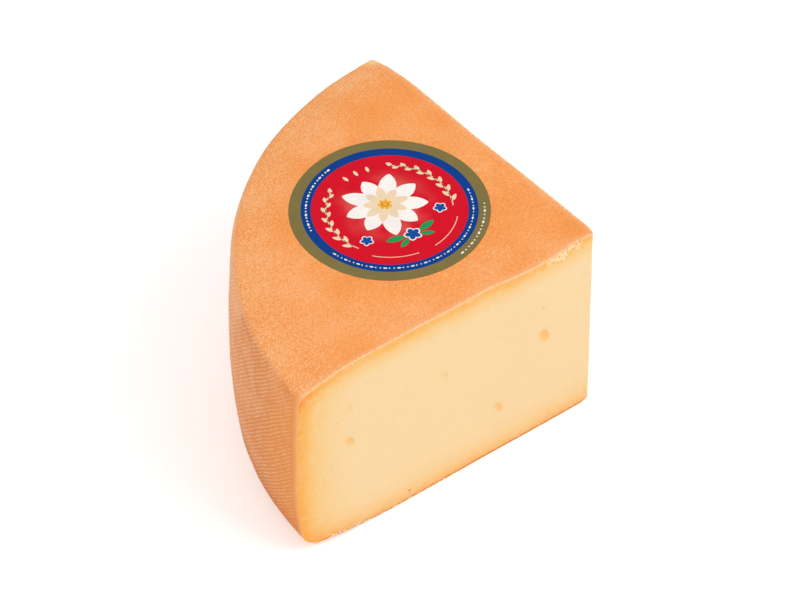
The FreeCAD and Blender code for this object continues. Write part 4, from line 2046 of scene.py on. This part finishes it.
@dataclass
class Studio:
    """Pale floor, soft lamps and the camera."""

    wheel: Wheel
    azimuth: float = math.radians(-37.1)
    elevation: float = math.radians(45.0)
    distance: float = 1.9
    lens: float = 198.5
    aside: float = -81.4 * MM
    above: float = 42.48 * MM
    floor_size: float = 6.0
    floor_cells: int = 8
    floor_tone: str = "efefef"
    floor_roughness: float = 0.9
    floor_lift: float = 0.28
    white: tuple[float, float, float, float] = (1.0, 1.0, 1.0, 1.0)
    sky: float = 0.68
    lamps: tuple[Lamp, ...] = (
        Lamp("key_lamp", (0.9, -1.5, 1.9), 24.0), Lamp("fill_lamp", (-1.9, 0.2, 1.2), 9.0)
    )

    def build(self) -> None:
        """Set up floor, world, lamps and camera."""
        self.lay_floor()
        self.light_world()
        for lamp in self.lamps:
            lamp.hang()
        self.place_camera()

    def lay_floor(self) -> None:
        """Lay the floor under the piece."""
        bm = bmesh.new()
        cells = self.floor_cells
        bmesh.ops.create_grid(bm, x_segments=cells, y_segments=cells, size=self.floor_size / 2)
        bench = Bench("floor_paper")
        seen = self.looked_at(bench.tree)
        bench.feed(bench.shader.inputs["Base Color"], bench.blend(seen, colour(self.floor_tone), self.white))
        bench.shader.inputs["Roughness"].default_value = self.floor_roughness
        bench.shader.inputs["Specular IOR Level"].default_value = 0.0
        bench.shader.inputs["Emission Color"].default_value = self.white
        bench.feed(bench.shader.inputs["Emission Strength"], bench.times(seen, self.floor_lift))
        floor = finish_mesh(bm, "floor", (bench.material,))

    def light_world(self) -> None:
        """Light the world evenly, and show it white behind the piece."""
        world = bpy.data.worlds.new("studio_world")
        bpy.context.scene.world = world
        world.use_nodes = True
        nodes, links = world.node_tree.nodes, world.node_tree.links
        level, background = nodes.new("ShaderNodeMath"), nodes["Background"]
        level.operation = "MULTIPLY_ADD"
        links.new(self.looked_at(world.node_tree), level.inputs[0])
        level.inputs[1].default_value = 1.0 - self.sky
        level.inputs[2].default_value = self.sky
        links.new(level.outputs[0], background.inputs["Strength"])
        background.inputs["Color"].default_value = self.white

    @staticmethod
    def looked_at(tree: NodeTree) -> NodeSocket:
        """Tell rays of the camera, of reflections and through glass from the rays that carry light.

        Args:
            tree: Nodes of the floor or of the world, which take the new ones.

        Returns:
            1 for the first three kinds of ray, else 0.
        """
        path = tree.nodes.new("ShaderNodeLightPath")
        seen = path.outputs["Is Camera Ray"]
        for name in ("Is Glossy Ray", "Is Transmission Ray"):
            larger = tree.nodes.new("ShaderNodeMath")
            larger.operation = "MAXIMUM"
            tree.links.new(seen, larger.inputs[0])
            tree.links.new(path.outputs[name], larger.inputs[1])
            seen = larger.outputs[0]
        return seen

    def place_camera(self) -> None:
        """Look at the quarter from above its first cut, a little from the rim's side."""
        level, rise = math.cos(self.elevation), math.sin(self.elevation)
        right = towards(self.azimuth)
        back = Vector((right.y * level, -right.x * level, rise))
        target = self.wheel.tip + right * self.aside + back.cross(right) * self.above
        data = bpy.data.cameras.new("camera")
        data.lens = self.lens
        camera = bpy.data.objects.new("camera", data)
        camera.location = target + back * self.distance
        camera.rotation_euler = back.to_track_quat("Z", "Y").to_euler()
        bpy.context.scene.collection.objects.link(camera)
        bpy.context.scene.camera = camera


def main() -> None:
    """Build every class in order and report each piece."""
    logging.basicConfig(level=logging.INFO, format="%(name)s: %(message)s")
    bpy.context.scene.view_settings.view_transform = "Standard"
    wheel = Wheel(*CAD_BOUNDS)
    low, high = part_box("label")
    centre, radius = (low + high) / 2, (high.x - low.x) / 2
    body = CheeseBody(wheel, centre, radius)
    enrol(body.build(PasteFinish(wheel).make(), RindFinish(wheel).make()), "cheese")
    bits = LooseBits(wheel, *CAD_BOUNDS)
    matt = 0.6
    enrol(bits.crumbs(PrintFinish("crumb", "ffdfa4", roughness=matt).make()))
    enrol(bits.flecks(PrintFinish("fleck", "f0a660", roughness=matt).make()))
    enrol(bits.slivers(PrintFinish("sliver", "fff2d6", roughness=matt).make()))
    label = PaperLabel(wheel, centre, radius)
    # Red field of the label, with f2a892 as a painted reflection of the lamps in patches near its centre
    red_field_and_reflection = PrintFinish("print_red_painted_reflection", "d90d26", "f2a892", centre + Vector((0, 2.5 * MM, 0)))
    rings = (red_field_and_reflection, PrintFinish("print_blue", "023e8c"), PrintFinish("print_gold", "807242"))
    enrol(label.build([ring.make() for ring in rings]), "label")
    codes = {"white": "fdf6f0", "cream": "f3d9b4", "yellow": "f0b429", "green": "1f9a55", "blue": "0b4f9e"}
    inks = {name: PrintFinish(f"ink_{name}", code).make() for name, code in codes.items()}
    for piece in FlowerPrint(label).build(inks):
        enrol(piece)
    Studio(wheel).build()


if __name__ == "__main__":
    main()
